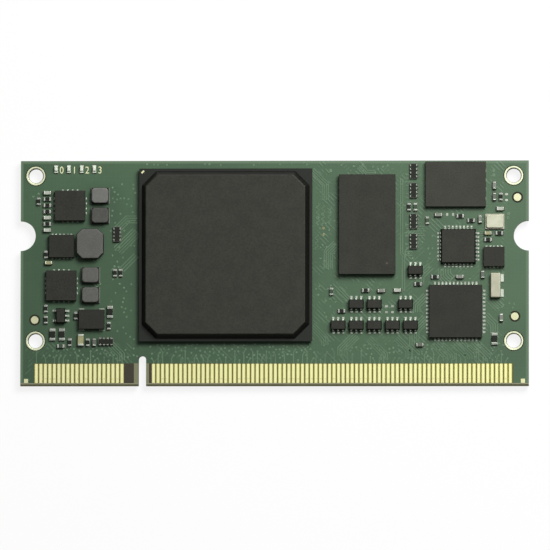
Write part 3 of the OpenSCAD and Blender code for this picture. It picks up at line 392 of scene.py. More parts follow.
# fired and moulded small parts: two tones, a speck, a roughness and a shine
smallLook = {
    "whiteAlumina": (rgb(0.62, 0.62, 0.58), rgb(0.78, 0.78, 0.74), 10, 0.5, 0.4),
    "greyAlumina": (rgb(0.16, 0.16, 0.15), rgb(0.26, 0.26, 0.24), 10, 0.5, 0.4),
    "darkGlaze": (rgb(0.004, 0.006, 0.003), rgb(0.012, 0.015, 0.009), 8, 0.45, 0.2),
    "greenGlaze": (rgb(0.034, 0.056, 0.034), rgb(0.054, 0.080, 0.050), 8, 0.45, 0.2),
    "tanCeramic": (rgb(0.25, 0.24, 0.115), rgb(0.35, 0.35, 0.185), 9, 0.45, 0.4),
    "greyCeramic": (rgb(0.14, 0.15, 0.122), rgb(0.217, 0.235, 0.195), 9, 0.45, 0.4),
    "dimCeramic": (rgb(0.08, 0.088, 0.07), rgb(0.124, 0.136, 0.11), 9, 0.45, 0.4),
    "paleCeramic": (rgb(0.36, 0.385, 0.325), rgb(0.44, 0.465, 0.40), 9, 0.45, 0.4),
    "crystalCeramic": (rgb(0.36, 0.34, 0.27), rgb(0.50, 0.48, 0.39), 7, 0.55, 0.4),
    "lampWhite": (rgb(0.55, 0.57, 0.51), rgb(0.70, 0.72, 0.65), 6, 0.4, 0.4),
    "lampClear": (rgb(0.60, 0.65, 0.55), rgb(0.78, 0.83, 0.71), 3, 0.18, 0.4),
    "creamInk": (rgb(0.70, 0.69, 0.40), rgb(0.86, 0.85, 0.52), 11, 0.6, 0.3),
    "tanInk": (rgb(0.070, 0.065, 0.045), rgb(0.100, 0.090, 0.060), 11, 0.6, 0.3),
    "bareLaminate": (rgb(0.010, 0.012, 0.005), rgb(0.024, 0.026, 0.012), 8, 0.6, 0.2),
    # a darker copy of the ferrite for the core sides, a painted shade
    "ferriteSidePaintedShade": (rgb(0.010, 0.010, 0.009), rgb(0.028, 0.028, 0.025), 8, 0.6, 0.15),
}


def smallFinish(name, low, high, scale, rough, shine):
    material, place = newFinish(name)
    speck = place.noise(scale, 3)
    return setFinish(material, place, Base_Color=speck.rise(0.25, 0.75).mix(low, high),
                     Roughness=rough + place.noise(scale * 2, 2) * 0.12, Normal=speck.bump(0.008, 0.35),
                     Specular_IOR_Level=shine)


finish = {"board": boardFinish(boardLook), "substrate": substrateFinish(substrateLook),
          "ferrite": ferriteFinish(ferriteLook), "trace": raisedMaskFinish(*raisedLook["trace"]),
          "via": raisedMaskFinish(*raisedLook["via"]),
          "paintedShadeMouldWall": mouldFinish("paintedShadeMouldWall", paintedWallShadeTone, mouldLook["wall"])}
finish.update({name: metalFinish(name, *look) for name, look in metalLook.items()})
finish.update({name: mouldFinish(name, tone, mouldLook["top"]) for name, tone in mouldTones.items()})
finish.update({name: smallFinish(name, *look) for name, look in smallLook.items()})
print("finishes made:", len(finish))

# finishes of the solids that stay as they are
solidFinish = {
    "circuit_board": "board", "hole_plating": "ringGold", "corner_pads": "flatGold",
    # the joints under the board take the darker solder, a painted shade
    "fiducials": "markGold", "component_lands": "solderShine", "bypass_joints": "solderPaintedShade",
    "fpga_substrate": "substrate", "fpga_corner_mark": "flatGold",
    "memory_substrate": "substrate",
    "flash_leads": "leadTin", "network_chip_leads": "leadTin", "usb_chip_leads": "leadTin",
    "clock_chip_leads": "leadTin", "regulator_leads": "leadTin", "small_regulator_leads": "leadTin",
    "oscillator_pads": "leadTin", "logic_gate_leads": "brightTin", "supervisor_leads": "brightTin",
    "small_inductor_terminals": "dullTin", "large_inductor_terminals": "dullTin",
    "crystal_base": "crystalCeramic", "crystal_pads": "flatGold", "fork_crystal_tabs": "brightTin",
    "lamp_bases": "lampWhite", "resistor_bodies": "whiteAlumina", "array_bodies": "greyAlumina",
    "bypass_bodies": "tanCeramic",
}
for name, look in solidFinish.items():
    for slot in nodes[name].material_slots:
        slot.material = finish[look]


def addPiece(name, mesh, slotName, replaced=()):
    piece = bpy.data.objects.new(name, mesh)
    scene.collection.objects.link(piece)
    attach(piece, "root")
    for node in replaced:
        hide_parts(node)
    return piece


def meshOf(name, form, material):
    mesh = bpy.data.meshes.new(name)
    form.to_mesh(mesh)
    form.free()
    mesh.materials.append(material)
    return mesh


# a copy of a solid with its facets joined into whole faces
def wholeCopy(node):
    form = bmesh.new()
    form.from_mesh(nodes[node].data)
    bmesh.ops.remove_doubles(form, verts=form.verts, dist=0.001 * mm)
    bmesh.ops.dissolve_limit(form, angle_limit=math.radians(0.5), verts=form.verts, edges=form.edges)
    return form


def sharpEdges(form, angle):
    return [e for e in form.edges if len(e.link_faces) == 2 and e.calc_face_angle(0) > math.radians(angle)]


# moulded and pressed bodies with their upper edges eased: node, finish, slot, width of the bevel, its steps
softBodies = {
    "fpgaCap": ("fpga_mould_cap", "mouldFpga", "mould", 0.1, 4),
    "memoryMould": ("memory_mould", "mouldMemory", "mould", 0.04, 2),
    "flashBody": ("flash_body", "mouldFlash", "mould", 0.04, 2),
    "networkBody": ("network_chip_body", "mouldNetwork", "mould", 0.04, 2),
    "usbBody": ("usb_chip_body", "mouldUsb", "mould", 0.05, 2),
    "clockBody": ("clock_chip_body", "mouldClock", "mould", 0.03, 2),
    "regulatorBodies": ("regulator_bodies", "mouldRegulator", "mould", 0.04, 2),
    "smallRegulatorBody": ("small_regulator_body", "mouldSmallRegulator", "mould", 0.03, 2),
    "oscillatorBody": ("oscillator_body", "mouldOscillator", "mould", 0.05, 2),
    "gateBodies": ("logic_gate_bodies", "mouldGate", "mould", 0.035, 2),
    "supervisorBody": ("supervisor_body", "mouldGate", "mould", 0.035, 2),
    "smallCores": ("small_inductor_cores", "ferrite", "ferrite", 0.22, 6),
    "largeCore": ("large_inductor_core", "ferrite", "ferrite", 0.2, 6),
    "crystalLid": ("crystal_lid", "lidMetal", "lid_metal", 0.08, 4),
    "forkCase": ("fork_crystal_case", "forkMetal", "fork_case", 0.13, 4),
    "lampLenses": ("lamp_lenses", "lampClear", "lamp_lens", 0.06, 3),
    "arrayCoats": ("array_coats", "darkGlaze", "resistor_coat", 0.012, 2),
}
paintedSideShade = {"mould": "paintedShadeMouldWall", "ferrite": "ferriteSidePaintedShade"}  # darker finishes as painted shade, on walls and below the top


def easeTop(name, node, look, slot, ease, steps):
    form = wholeCopy(node)
    top = max(v.co.z for v in form.verts)
    edges = [e for e in sharpEdges(form, 15) if min(v.co.z for v in e.verts) > top - 0.002 * mm]
    bmesh.ops.bevel(form, geom=edges, offset=ease * mm, segments=steps, profile=0.5, affect="EDGES",
                    clamp_overlap=True)
    bmesh.ops.triangulate(form, faces=[f for f in form.faces if len(f.verts) > 4])
    form.normal_update()
    for face in form.faces:
        # walls and faces below the eased top take the darker side finish, a painted shade
        lower = face.normal.z < 0.7 or face.calc_center_median().z < top - 1.2 * ease * mm
        face.material_index = 1 if lower and slot in paintedSideShade else 0
    mesh = meshOf(name, form, finish[look])
    if slot in paintedSideShade:
        mesh.materials.append(finish[paintedSideShade[slot]])
    addPiece(name, mesh, slot, [node])


for name, body in softBodies.items():
    easeTop(name, *body)
print("eased bodies made:", len(softBodies))


# islands of a solid, as their lowest and highest corners
def islands(node):
    form = bmesh.new()
    form.from_mesh(nodes[node].data)
    bmesh.ops.remove_doubles(form, verts=form.verts, dist=0.001 * mm)
    left = set(form.verts)
    boxes = []
    while left:
        heap = [left.pop()]
        group = []
        while heap:
            vert = heap.pop()
            group.append(vert.co.copy())
            for edge in vert.link_edges:
                other = edge.other_vert(vert)
                if other in left:
                    left.remove(other)
                    heap.append(other)
        boxes.append((Vector(min(c[i] for c in group) for i in range(3)),
                      Vector(max(c[i] for c in group) for i in range(3))))
    form.free()
    return sorted(boxes, key=lambda b: tuple(b[0]))


# contacts: gold, with a painted highlight along the middle of each finger, a little darker towards the
# right, and a faint row of marks left by a socket
contactLook = {"low": rgb(0.43, 0.42, 0.12), "high": rgb(0.74, 0.73, 0.40), "rough": 0.46, "shift": 0.0045,
               "marks": (-14.12, -13.98), "worn": rgb(0.42, 0.36, 0.16)}
contactSpots = [((b[0].x + b[1].x) / 2 / mm, b[1].y / mm) for b in islands("front_contacts")]


def contactFinish(look):
    material, place = newFinish("contactGold")
    x, y = place.part(0), place.part(1)
    pitch = contactSpots[1][0] - contactSpots[0][0]
    paintedFingerHighlight = (x - (contactSpots[0][0] - pitch / 4)).wave(pitch)
    scratch = place.stretched(9, 0.7, 9).noise(2.2, 4)
    tone = paintedFingerHighlight.rise(0.15, 0.9) * 0.75 + scratch * 0.25 - x * look["shift"]
    colour = tone.mix(look["low"], look["high"])
    worn = y.between(*look["marks"]) * place.noise(3.0, 2).rise(0.45, 0.6)
    return setFinish(material, place, Base_Color=(worn * 0.5).mix(colour, look["worn"]), Metallic=1.0,
                     Roughness=look["rough"] + scratch * 0.16, Normal=scratch.bump(0.004, 0.35))


finish["contactGold"] = contactFinish(contactLook)
for name in ("front_contacts", "back_contacts"):
    for slot in nodes[name].material_slots:
        slot.material = finish["contactGold"]


def roundedBoxes(name, boxes, ease, steps, material):
    form = bmesh.new()
    for low, high in boxes:
        made = bmesh.ops.create_cube(form, size=1)["verts"]
        for vert in made:
            vert.co = Vector((low[i] + high[i]) / 2 + vert.co[i] * (high[i] - low[i]) for i in range(3))
    bmesh.ops.bevel(form, geom=form.edges[:], offset=ease * mm, segments=steps, profile=0.5, affect="EDGES",
                    clamp_overlap=True)
    return meshOf(name, form, material)


# solder: bright where it wets the tall toes of the chip leads, and a darker copy in the steep fillets of the
# small parts as painted shade
solderLook = {"toeHeight": 0.16, "toes": "solderShine", "fillets": "solderPaintedShade"}


def solderPiece(look):
    toes = [b for b in islands("solder_joints") if b[1].z - b[0].z > look["toeHeight"] * mm]
    form = wholeCopy("solder_joints")
    bmesh.ops.triangulate(form, faces=[f for f in form.faces if len(f.verts) > 4])
    for face in form.faces:
        spot = face.calc_center_median()
        onToe = any(all(low[i] <= spot[i] <= high[i] for i in range(2)) for low, high in toes)
        face.material_index = 0 if onToe else 1
    mesh = meshOf("solderFillets", form, finish[look["toes"]])
    mesh.materials.append(finish[look["fillets"]])
    addPiece("solderFillets", mesh, "solder", ["solder_joints"])


solderPiece(solderLook)
print("solder made")

# plated chip terminals, rounded as dipped metal is: node, width of the bevel, finish
terminalLook = {
    "resistorTerminals": ("resistor_ends", 0.08, "leadTin"),
    "bypassTerminals": ("bypass_ends", 0.07, "leadTin"),
    "capacitorTerminals": ("capacitor_ends", 0.1, "brightTin"),
    "arrayTerminals": ("array_ends", 0.04, "arrayTin"),
    "lampTerminals": ("lamp_terminals", 0.03, "paleTin"),
}
for name, (node, ease, look) in terminalLook.items():
    addPiece(name, roundedBoxes(name, islands(node), ease, 3, finish[look]), "tin", [node])

# chip bodies that differ from part to part: the usual finish, and where the others lie
mixedLook = {
    "capacitors": {
        "node": "capacitor_bodies", "slot": "capacitor_ceramic", "ease": 0.04, "usual": "greyCeramic",
        "others": {"tanCeramic": ((-30.05, 1.4), (28.43, 5.32), (-25.75, -8.9)),
                   "paleCeramic": ((16.36, -2.3), (-30.25, 5.75), (-30.25, 7.4), (-30.25, 10.7),
                                   (30.0, 8.55)),
                   "dimCeramic": ((-23.95, -9.2), (19.35, -9.55), (27.7, -0.2), (29.25, 10.15))},
    },
    "resistors": {
        "node": "resistor_coats", "slot": "resistor_coat", "ease": 0.012, "usual": "darkGlaze",
        "others": {"greenGlaze": ((-28.4, -9.7), (7.6, -2.45), (18.75, 8.8), (20.35, 7.0))},
    },
}


def sortChips(look):
    groups = {look["usual"]: []}
    for low, high in islands(look["node"]):
        spot = (low + high) / 2 / mm
        tone = look["usual"]
        for other, spots in look["others"].items():
            if any(math.hypot(spot.x - x, spot.y - y) < 0.4 for x, y in spots):
                tone = other
        groups.setdefault(tone, []).append((low, high))
    return groups


for kind, look in mixedLook.items():
    for tone, boxes in sortChips(look).items():
        name = kind + tone[0].upper() + tone[1:]
        mesh = roundedBoxes(name, boxes, look["ease"], 2, finish[tone])
        addPiece(name, mesh, look["slot"], [look["node"]])
print("chip parts rounded")


# Geometry Nodes: small helpers to build a tree and to turn its result into a mesh
def newTree(name, sockets):
    tree = bpy.data.node_groups.new(name, "GeometryNodeTree")
    tree.is_modifier = True
    tree.interface.new_socket("Geometry", in_out="INPUT", socket_type="NodeSocketGeometry")
    tree.interface.new_socket("Geometry", in_out="OUTPUT", socket_type="NodeSocketGeometry")
    for label, kind in sockets.items():
        tree.interface.new_socket(label, in_out="INPUT", socket_type="NodeSocket" + kind)
    return tree, tree.nodes.new("NodeGroupInput").outputs


def growNode(tree, kind, inputs, settings=None):
    made = tree.nodes.new(kind)
    for key, value in (settings or {}).items():
        setattr(made, key, value)
    for key, value in inputs.items():
        if isinstance(value, bpy.types.NodeSocket):
            tree.links.new(value, made.inputs[key])
        else:
            made.inputs[key].default_value = value
    return made.outputs


def endTree(tree, geometry, material):
    whole = growNode(tree, "GeometryNodeRealizeInstances", {"Geometry": geometry})
    painted = growNode(tree, "GeometryNodeSetMaterial", {"Geometry": whole[0], "Material": material})
    tree.links.new(painted[0], tree.nodes.new("NodeGroupOutput").inputs[0])


def grownMesh(name, seed, tree, values):
    holder = bpy.data.objects.new(name + "Seed", seed)
    scene.collection.objects.link(holder)
    modifier = holder.modifiers.new(name, "NODES")
    modifier.node_group = tree
    for item in tree.interface.items_tree:
        if item.item_type == "SOCKET" and item.in_out == "INPUT" and item.name in values:
            modifier[item.identifier] = values[item.name]
    graph = bpy.context.evaluated_depsgraph_get()
    mesh = bpy.data.meshes.new_from_object(holder.evaluated_get(graph), depsgraph=graph)
    mesh.name = name
    holder.modifiers.remove(modifier)
    bpy.data.objects.remove(holder)
    return mesh


def pointSeed(name, points):
    seed = bpy.data.meshes.new(name)
    seed.from_pydata([Vector(p) * mm for p in points], [], [])
    return seed


crossing = {"levels": 7, "lift": 0.0008}  # where two paths cross, one lies a hair above the other


def pathSeed(name, paths, height):
    spots, links = [], []
    for count, path in enumerate(paths):
        level = height + count % crossing["levels"] * crossing["lift"]
        links += [(len(spots) + i, len(spots) + i + 1) for i in range(len(path) - 1)]
        spots += [Vector((p[0], p[1], level)) * mm for p in path]
    seed = bpy.data.meshes.new(name)
    seed.from_pydata(spots, links, [])
    return seed


# masked copper: a flat strip along each path
def traceTree():
    tree, inputs = newTree("maskedTraces", {"Trace Width": "Float", "Trace Height": "Float",
                                            "Finish": "Material"})
    path = growNode(tree, "GeometryNodeMeshToCurve", {"Mesh": inputs["Geometry"]})
    upright = growNode(tree, "GeometryNodeSetCurveNormal", {"Curve": path[0]}, {"mode": "Z_UP"})
    strip = growNode(tree, "GeometryNodeCurvePrimitiveQuadrilateral",
                     {"Width": inputs["Trace Width"], "Height": inputs["Trace Height"]},
                     {"mode": "RECTANGLE"})
    body = growNode(tree, "GeometryNodeCurveToMesh",
                    {"Curve": upright[0], "Profile Curve": strip[0], "Fill Caps": True})
    flat = growNode(tree, "GeometryNodeSetShadeSmooth", {"Geometry": body[0], "Shade Smooth": False})
    endTree(tree, flat[0], inputs["Finish"])
    return tree


# a small shape copied to every point
def scatterTree():
    tree, inputs = newTree("scatteredShapes", {"Shape": "Object", "Size": "Float", "Finish": "Material"})
    shape = growNode(tree, "GeometryNodeObjectInfo", {"Object": inputs["Shape"]})
    copies = growNode(tree, "GeometryNodeInstanceOnPoints",
                      {"Points": inputs["Geometry"], "Instance": shape["Geometry"],
                       "Scale": inputs["Size"]})
    endTree(tree, copies[0], inputs["Finish"])
    return tree


# stacked turns of round wire at every point
def turnsTree():
    tree, inputs = newTree("stackedTurns", {"Turn Radius": "Float", "Wire Radius": "Float", "Turns": "Int",
                                            "Rise": "Vector", "Finish": "Material"})
    stack = growNode(tree, "GeometryNodeMeshLine", {"Count": inputs["Turns"], "Offset": inputs["Rise"]})
    turn = growNode(tree, "GeometryNodeCurvePrimitiveCircle",
                    {"Resolution": 48, "Radius": inputs["Turn Radius"]})
    wire = growNode(tree, "GeometryNodeCurvePrimitiveCircle",
                    {"Resolution": 10, "Radius": inputs["Wire Radius"]})
    ring = growNode(tree, "GeometryNodeCurveToMesh", {"Curve": turn[0], "Profile Curve": wire[0]})
    layers = growNode(tree, "GeometryNodeInstanceOnPoints", {"Points": stack[0], "Instance": ring[0]})
    coil = growNode(tree, "GeometryNodeRealizeInstances", {"Geometry": layers[0]})
    coils = growNode(tree, "GeometryNodeInstanceOnPoints",
                     {"Points": inputs["Geometry"], "Instance": coil[0]})
    whole = growNode(tree, "GeometryNodeRealizeInstances", {"Geometry": coils[0]})
    smooth = growNode(tree, "GeometryNodeSetShadeSmooth", {"Geometry": whole[0]})
    endTree(tree, smooth[0], inputs["Finish"])
    return tree


# a lathed shape of a few dozen faces, from radius and height pairs
def lathedShape(name, profile, sides):
    form = bmesh.new()
    rings = []
    for radius, height in profile:
        if radius == 0:
            rings.append([form.verts.new((0, 0, height * mm))])
        else:
            turns = [2 * math.pi * i / sides for i in range(sides)]
            reach = radius * mm
            rings.append([form.verts.new((reach * math.cos(a), reach * math.sin(a), height * mm))
                          for a in turns])
    for lower, upper in zip(rings, rings[1:]):
        for i in range(sides):
            corners = [lower[i % len(lower)], lower[(i + 1) % len(lower)],
                       upper[(i + 1) % len(upper)], upper[i % len(upper)]]
            form.faces.new(list(dict.fromkeys(corners)))
    bmesh.ops.remove_doubles(form, verts=form.verts, dist=0.0005 * mm)
    bmesh.ops.recalc_face_normals(form, faces=form.faces[:])
    mesh = bpy.data.meshes.new(name)
    form.to_mesh(mesh)
    form.free()
    shape = bpy.data.objects.new(name, mesh)
    scene.collection.objects.link(shape)
    return shape


# windings between the flanges of the inductors
windingLook = {
    "smallWindings": {"node": "small_inductor_coils", "turns": 4},
    "largeWinding": {"node": "large_inductor_coil", "turns": 5},
}
turns = turnsTree()
for name, look in windingLook.items():
    boxes = islands(look["node"])
    low, high = boxes[0]
    wire = (high.z - low.z) / look["turns"] / 2
    centres = [((b[0].x + b[1].x) / 2 / mm, (b[0].y + b[1].y) / 2 / mm, (b[0].z + wire) / mm)
               for b in boxes]
    mesh = grownMesh(name, pointSeed(name, centres), turns,
                     {"Turn Radius": (high.x - low.x) / 2 - wire, "Wire Radius": wire,
                      "Turns": look["turns"], "Rise": (0, 0, 2 * wire), "Finish": finish["windingCopper"]})
    addPiece(name, mesh, "copper_wire", [look["node"]])
print("windings made")


# parallel copies of one path, with mitred corners
def bundle(path, count, gap):
    points = [Vector(p) for p in path]
    runs = []
    for i in range(count):
        shift = (i - (count - 1) / 2) * gap
        run = []
        for k, point in enumerate(points):
            before, after = points[max(k - 1, 0):k + 1], points[max(k, 1):k + 2]
            steps = [(b - a).normalized() for a, b in zip(before, after)]
            if k == 0:
                steps = [(points[1] - points[0]).normalized()]
            sides = [Vector((-s.y, s.x)) for s in steps]
            side = sum(sides, Vector((0, 0))).normalized()
            run.append(point + side * (shift / max(side.dot(sides[0]), 0.5)))
        runs.append(run)
    return runs


# a path that swings from side to side, to lengthen it
def meander(x, y, waves, pitch, swing):
    steps = [i / 8 for i in range(8 * waves + 1)]
    return [(x + swing * math.sin(2 * math.pi * i), y - i * pitch) for i in steps]


# routing on the component side: a path, how many lie side by side, and their spacing
frontRoutes = [
    ([(4.9, 13.7), (6.75, 11.85), (6.75, 9.7)], 4, 0.27),
    ([(8.3, 3.9), (7.15, 2.75), (7.15, 0.6)], 5, 0.27),
    ([(16.9, 12.6), (16.9, 2.6), (17.15, 2.35), (17.15, -2.2)], 2, 0.3),
    ([(17.4, 2.0), (17.4, 3.0), (18.2, 3.8)], 1, 0.3),
    ([(8.4, -2.0), (10.3, -3.9)], 3, 0.3),
    ([(5.0, -7.0), (6.7, -8.7), (6.7, -9.6)], 4, 0.28),
    ([(10.9, -8.2), (9.0, -10.1), (9.0, -11.0)], 5, 0.28),
    ([(12.5, -8.7), (14.6, -10.8), (14.6, -11.4)], 4, 0.28),
    ([(16.2, -8.6), (17.9, -10.3), (17.9, -11.3)], 4, 0.28),
    ([(-20.9, 3.0), (-18.4, 5.5)], 5, 0.32),
    ([(-21.0, 5.8), (-19.6, 7.2), (-18.4, 7.2)], 4, 0.3),
    ([(-20.3, 0.5), (-18.4, 2.4)], 3, 0.35),
    ([(20.2, -3.0), (18.9, -4.3), (18.9, -5.2)], 4, 0.3),
    ([(20.2, -6.0), (18.6, -7.6), (18.6, -9.4), (19.6, -10.4)], 5, 0.3),
    ([(28.0, -2.7), (30.0, -4.7)], 5, 0.3),
    ([(28.0, -5.6), (29.2, -6.8), (29.2, -8.6)], 4, 0.3),
    ([(21.3, -9.1), (23.2, -11.0), (23.2, -11.5)], 6, 0.3),
    ([(24.2, -9.1), (26.1, -11.0), (26.1, -11.5)], 6, 0.3),
    ([(26.4, -9.1), (28.6, -11.3)], 5, 0.3),
    ([(19.9, 5.6), (18.6, 5.6), (17.9, 4.9)], 5, 0.3),
    ([(20.8, 1.0), (19.4, -0.4), (19.4, -1.4)], 4, 0.3),
    ([(27.2, 5.4), (28.2, 5.4), (28.9, 4.7)], 4, 0.3),
    ([(22.6, 0.6), (22.6, -0.3), (23.3, -1.0)], 6, 0.32),
    ([(11.4, 14.3), (12.3, 13.4), (13.4, 13.4)], 3, 0.25),
    ([(18.3, 12.4), (17.5, 12.4)], 4, 0.5), ([(18.3, 9.8), (17.5, 9.8)], 4, 0.5),
    ([(18.3, 5.7), (17.5, 5.7)], 4, 0.5), ([(18.3, 3.1), (17.5, 3.1)], 4, 0.5),
    ([(-22.0, -9.2), (-20.4, -10.8), (-20.4, -11.6)], 4, 0.3),
    ([(-24.6, -0.4), (-23.4, -1.6)], 3, 0.3),
]
frontMeanders = [(5.75, 9.3, 4, 0.7, 0.2), (6.45, 9.1, 4, 0.7, 0.2), (7.3, 8.7, 3, 0.7, 0.2),
                 (5.6, 5.2, 3, 0.7, 0.2), (18.9, 1.6, 2, 0.7, 0.2)]
traceLook = {"width": 0.15, "height": 0.06, "proud": 0.03}

# stubs and vias: how many contacts have one, how far it runs, and how far apart vias stay
stubLook = {"seed": 11, "share": 0.8, "rises": (0.35, 0.75, 1.15, 1.55), "jogs": (-0.25, 0, 0.25),
            "overlap": 0.1, "tail": 0.12, "clear": 0.3, "fieldClear": 0.42, "fieldTries": 4000,
            "endShare": 0.5}


def clearOf(spot, vias, gap):
    return all(math.hypot(spot[0] - v[0], spot[1] - v[1]) > gap for v in vias)


stubRandom = random.Random(stubLook["seed"])
frontVias, frontPaths = [], []
for route in frontRoutes:
    frontPaths += bundle(*route)
for swing in frontMeanders:
    frontPaths.append(meander(*swing))
backVias, backPaths = [], []
for x, y in contactSpots:  # a short escape from most contacts to a via
    for vias, paths in ((frontVias, frontPaths), (backVias, backPaths)):
        if stubRandom.random() < stubLook["share"]:
            rise = stubRandom.choice(stubLook["rises"])
            jog = stubRandom.choice(stubLook["jogs"])
            spot = (x + jog, y + rise + abs(jog) + stubLook["tail"])
            if clearOf(spot, vias, stubLook["clear"]):
                paths.append([(x, y - stubLook["overlap"]), (x, y + rise), spot])
                vias.append(spot)
# via fields: two corners and how many
viaFields = [
    ((-16.5, -11.4), (4.8, -9.4), 75), ((-22.0, -8.8), (-18.5, 12.0), 60), ((5.3, -6.5), (8.3, 9.0), 30),
    ((17.6, -1.2), (30.5, 6.5), 45), ((17.5, -11.2), (30.6, -8.8), 40),
    ((-30.0, -11.2), (-17.9, -10.0), 26), ((-30.0, 1.7), (-23.5, 3.2), 14), ((31.0, -6.5), (33.0, -4.0), 4),
    ((8.6, -10.8), (17.0, -9.4), 26),
    ((-32.5, 9.0), (-30.0, 11.0), 5), ((8.0, 13.7), (16.6, 14.5), 9), ((-17.5, 14.3), (4.5, 14.7), 14),
]
for low, high, count in viaFields:
    tries = 0
    while count and tries < stubLook["fieldTries"]:
        tries += 1
        spot = (stubRandom.uniform(low[0], high[0]), stubRandom.uniform(low[1], high[1]))
        if clearOf(spot, frontVias, stubLook["fieldClear"]):
            frontVias.append(spot)
            count -= 1
for run in frontPaths[:]:  # a via at the far end of most routes
    spot = (run[-1][0], run[-1][1])
    if stubRandom.random() < stubLook["endShare"] and clearOf(spot, frontVias, stubLook["clear"]):
        frontVias.append(spot)

# underside of the main chip: a grid of vias, and pairs of traces leaving it on three sides
underLook = {"reach": 10, "lowRuns": 14, "lowFirst": -9.1, "lowPitch": 1.4, "sideRuns": 9, "sideFirst": -8,
             "sidePitch": 2, "pair": (2, 0.3)}
fpgaLow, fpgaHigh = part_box("fpga_substrate")
middle = (fpgaLow + fpgaHigh) / 2 / mm
for i in range(-underLook["reach"], underLook["reach"] + 1):
    for j in range(-underLook["reach"], underLook["reach"] + 1):
        backVias.append((middle.x + i, middle.y + j))
for k in range(underLook["lowRuns"]):
    x = middle.x + underLook["lowFirst"] + k * underLook["lowPitch"]
    route = [(x, middle.y - 10.2), (x, middle.y - 11.0), (x + 0.8, middle.y - 11.8)]
    backPaths += bundle(route, *underLook["pair"])
for k in range(underLook["sideRuns"]):
    y = middle.y + underLook["sideFirst"] + k * underLook["sidePitch"]
    rightRoute = [(middle.x + 10.2, y), (middle.x + 12.0, y), (middle.x + 13.6, y + 1.6)]
    leftRoute = [(middle.x - 10.2, y), (middle.x - 12.5, y), (middle.x - 13.7, y - 1.2)]
    backPaths += bundle(rightRoute, *underLook["pair"])
    backPaths += bundle(leftRoute, *underLook["pair"])

traces = traceTree()
for name, paths, height in (("frontTraces", frontPaths, faceZ), ("backTraces", backPaths, underZ)):
    side = 1 if height == faceZ else -1
    level = height + side * (traceLook["proud"] - traceLook["height"] / 2)
    mesh = grownMesh(name, pathSeed(name, paths, level), traces,
                     {"Trace Width": traceLook["width"] * mm, "Trace Height": traceLook["height"] * mm,
                      "Finish": finish["trace"]})
    addPiece(name, mesh, "solder_mask")

# vias: a low ring with a dimple, covered by the mask; a few stay open and gilt
viaLook = {"frontSize": 0.62, "wideSize": 1.0, "openSize": 0.85, "backSize": 0.8}
viaShape = lathedShape("viaShape", ((0, -0.01), (0.24, -0.01), (0.20, 0.022), (0.12, 0.026), (0.08, 0.004),
                                    (0, 0.002)), 10)
openVias = [(6.5, 5.97), (6.54, 5.16)]
wideVias = [(7.46, 13.66), (29.1, 13.6), (29.1, 13.05), (31.1, 7.9), (31.0, 7.35)]
scatter = scatterTree()
for name, spots, size, look in (("frontVias", frontVias, "frontSize", "via"),
                                ("wideVias", wideVias, "wideSize", "via"),
                                ("openVias", openVias, "openSize", "dullGold")):
    mesh = grownMesh(name, pointSeed(name, [(x, y, faceZ) for x, y in spots]), scatter,
                     {"Shape": viaShape, "Size": viaLook[size], "Finish": finish[look]})
    addPiece(name, mesh, "solder_mask" if look == "via" else "gold")
mesh = grownMesh("backVias", pointSeed("backVias", [(x, -y, -underZ) for x, y in backVias]), scatter,
                 {"Shape": viaShape, "Size": viaLook["backSize"], "Finish": finish["via"]})
mesh.transform(Matrix.Rotation(math.pi, 4, "X"))  # turned over onto the underside
addPiece("backVias", mesh, "solder_mask")
bpy.data.objects.remove(viaShape)
print("routing made:", len(frontPaths) + len(backPaths), "traces,", len(frontVias) + len(backVias), "vias")

# mask openings: a ring of dark bare laminate round the marks and the mounting holes
openingLook = {"fiducials": 0.24, "hole_plating": 0.12}
openingTuck = 0.05  # how far the ring goes under the plating
for node, width in openingLook.items():
    boxes = islands(node)
    inner = (boxes[0][1].x - boxes[0][0].x) / 2 / mm
    inner, outer = inner - openingTuck, inner + width
    ring = lathedShape(node + "Ring", ((inner, -0.01), (outer, -0.01), (outer, 0.004), (inner, 0.004),
                                       (inner, -0.01)), 40)
    spots = [((b[0].x + b[1].x) / 2 / mm, (b[0].y + b[1].y) / 2 / mm, faceZ) for b in boxes]
    name = "openingsFiducials" if node == "fiducials" else "openingsHoles"
    mesh = grownMesh(name, pointSeed(name, spots), scatter,
                     {"Shape": ring, "Size": 1.0, "Finish": finish["bareLaminate"]})
    addPiece(name, mesh, "substrate")
    bpy.data.objects.remove(ring)
print("mask openings made")

# mounting holes: a plated barrel with a rounded lip on both faces
rimLook = {"lip": 0.15, "steps": 5, "sides": 48}


def rimProfile(low, high, look):
    middle = (low + high) / 2
    flange = high.x - middle.x
    spots = [v.co / mm for v in nodes["hole_plating"].data.vertices]
    reaches = [math.hypot(s.x - middle.x, s.y - middle.y) for s in spots]
    bore = min(reaches)
    barrel = min(r for r in reaches if r > bore + 0.01)
    turns = [math.pi / 2 * i / look["steps"] for i in range(look["steps"] + 1)]
    lip = [(bore + look["lip"] * (1 - math.cos(a)), high.z - look["lip"] * (1 - math.sin(a))) for a in turns]
    under = [(radius, low.z + high.z - height) for radius, height in reversed(lip)]
    return [*lip, (flange, high.z), (flange, faceZ), (barrel, faceZ), (barrel, underZ), (flange, underZ),
            (flange, low.z), *under, lip[0]]


rimBoxes = islands("hole_plating")
rimSpots = [((b[0].x + b[1].x) / 2 / mm, (b[0].y + b[1].y) / 2 / mm, 0) for b in rimBoxes]
rimLow, rimHigh = rimBoxes[0]
rim = lathedShape("rimShape", rimProfile(rimLow / mm, rimHigh / mm, rimLook), rimLook["sides"])
mesh = grownMesh("holeRims", pointSeed("holeRims", rimSpots), scatter,
                 {"Shape": rim, "Size": 1.0, "Finish": finish["ringGold"]})
addPiece("holeRims", mesh, "gold", ["hole_plating"])
bpy.data.objects.remove(rim)
print("hole rims made")


# solder balls: a sphere flattened top and bottom, one for every ball of a grid chip
ballLook = {"sides": 10, "steps": 6}


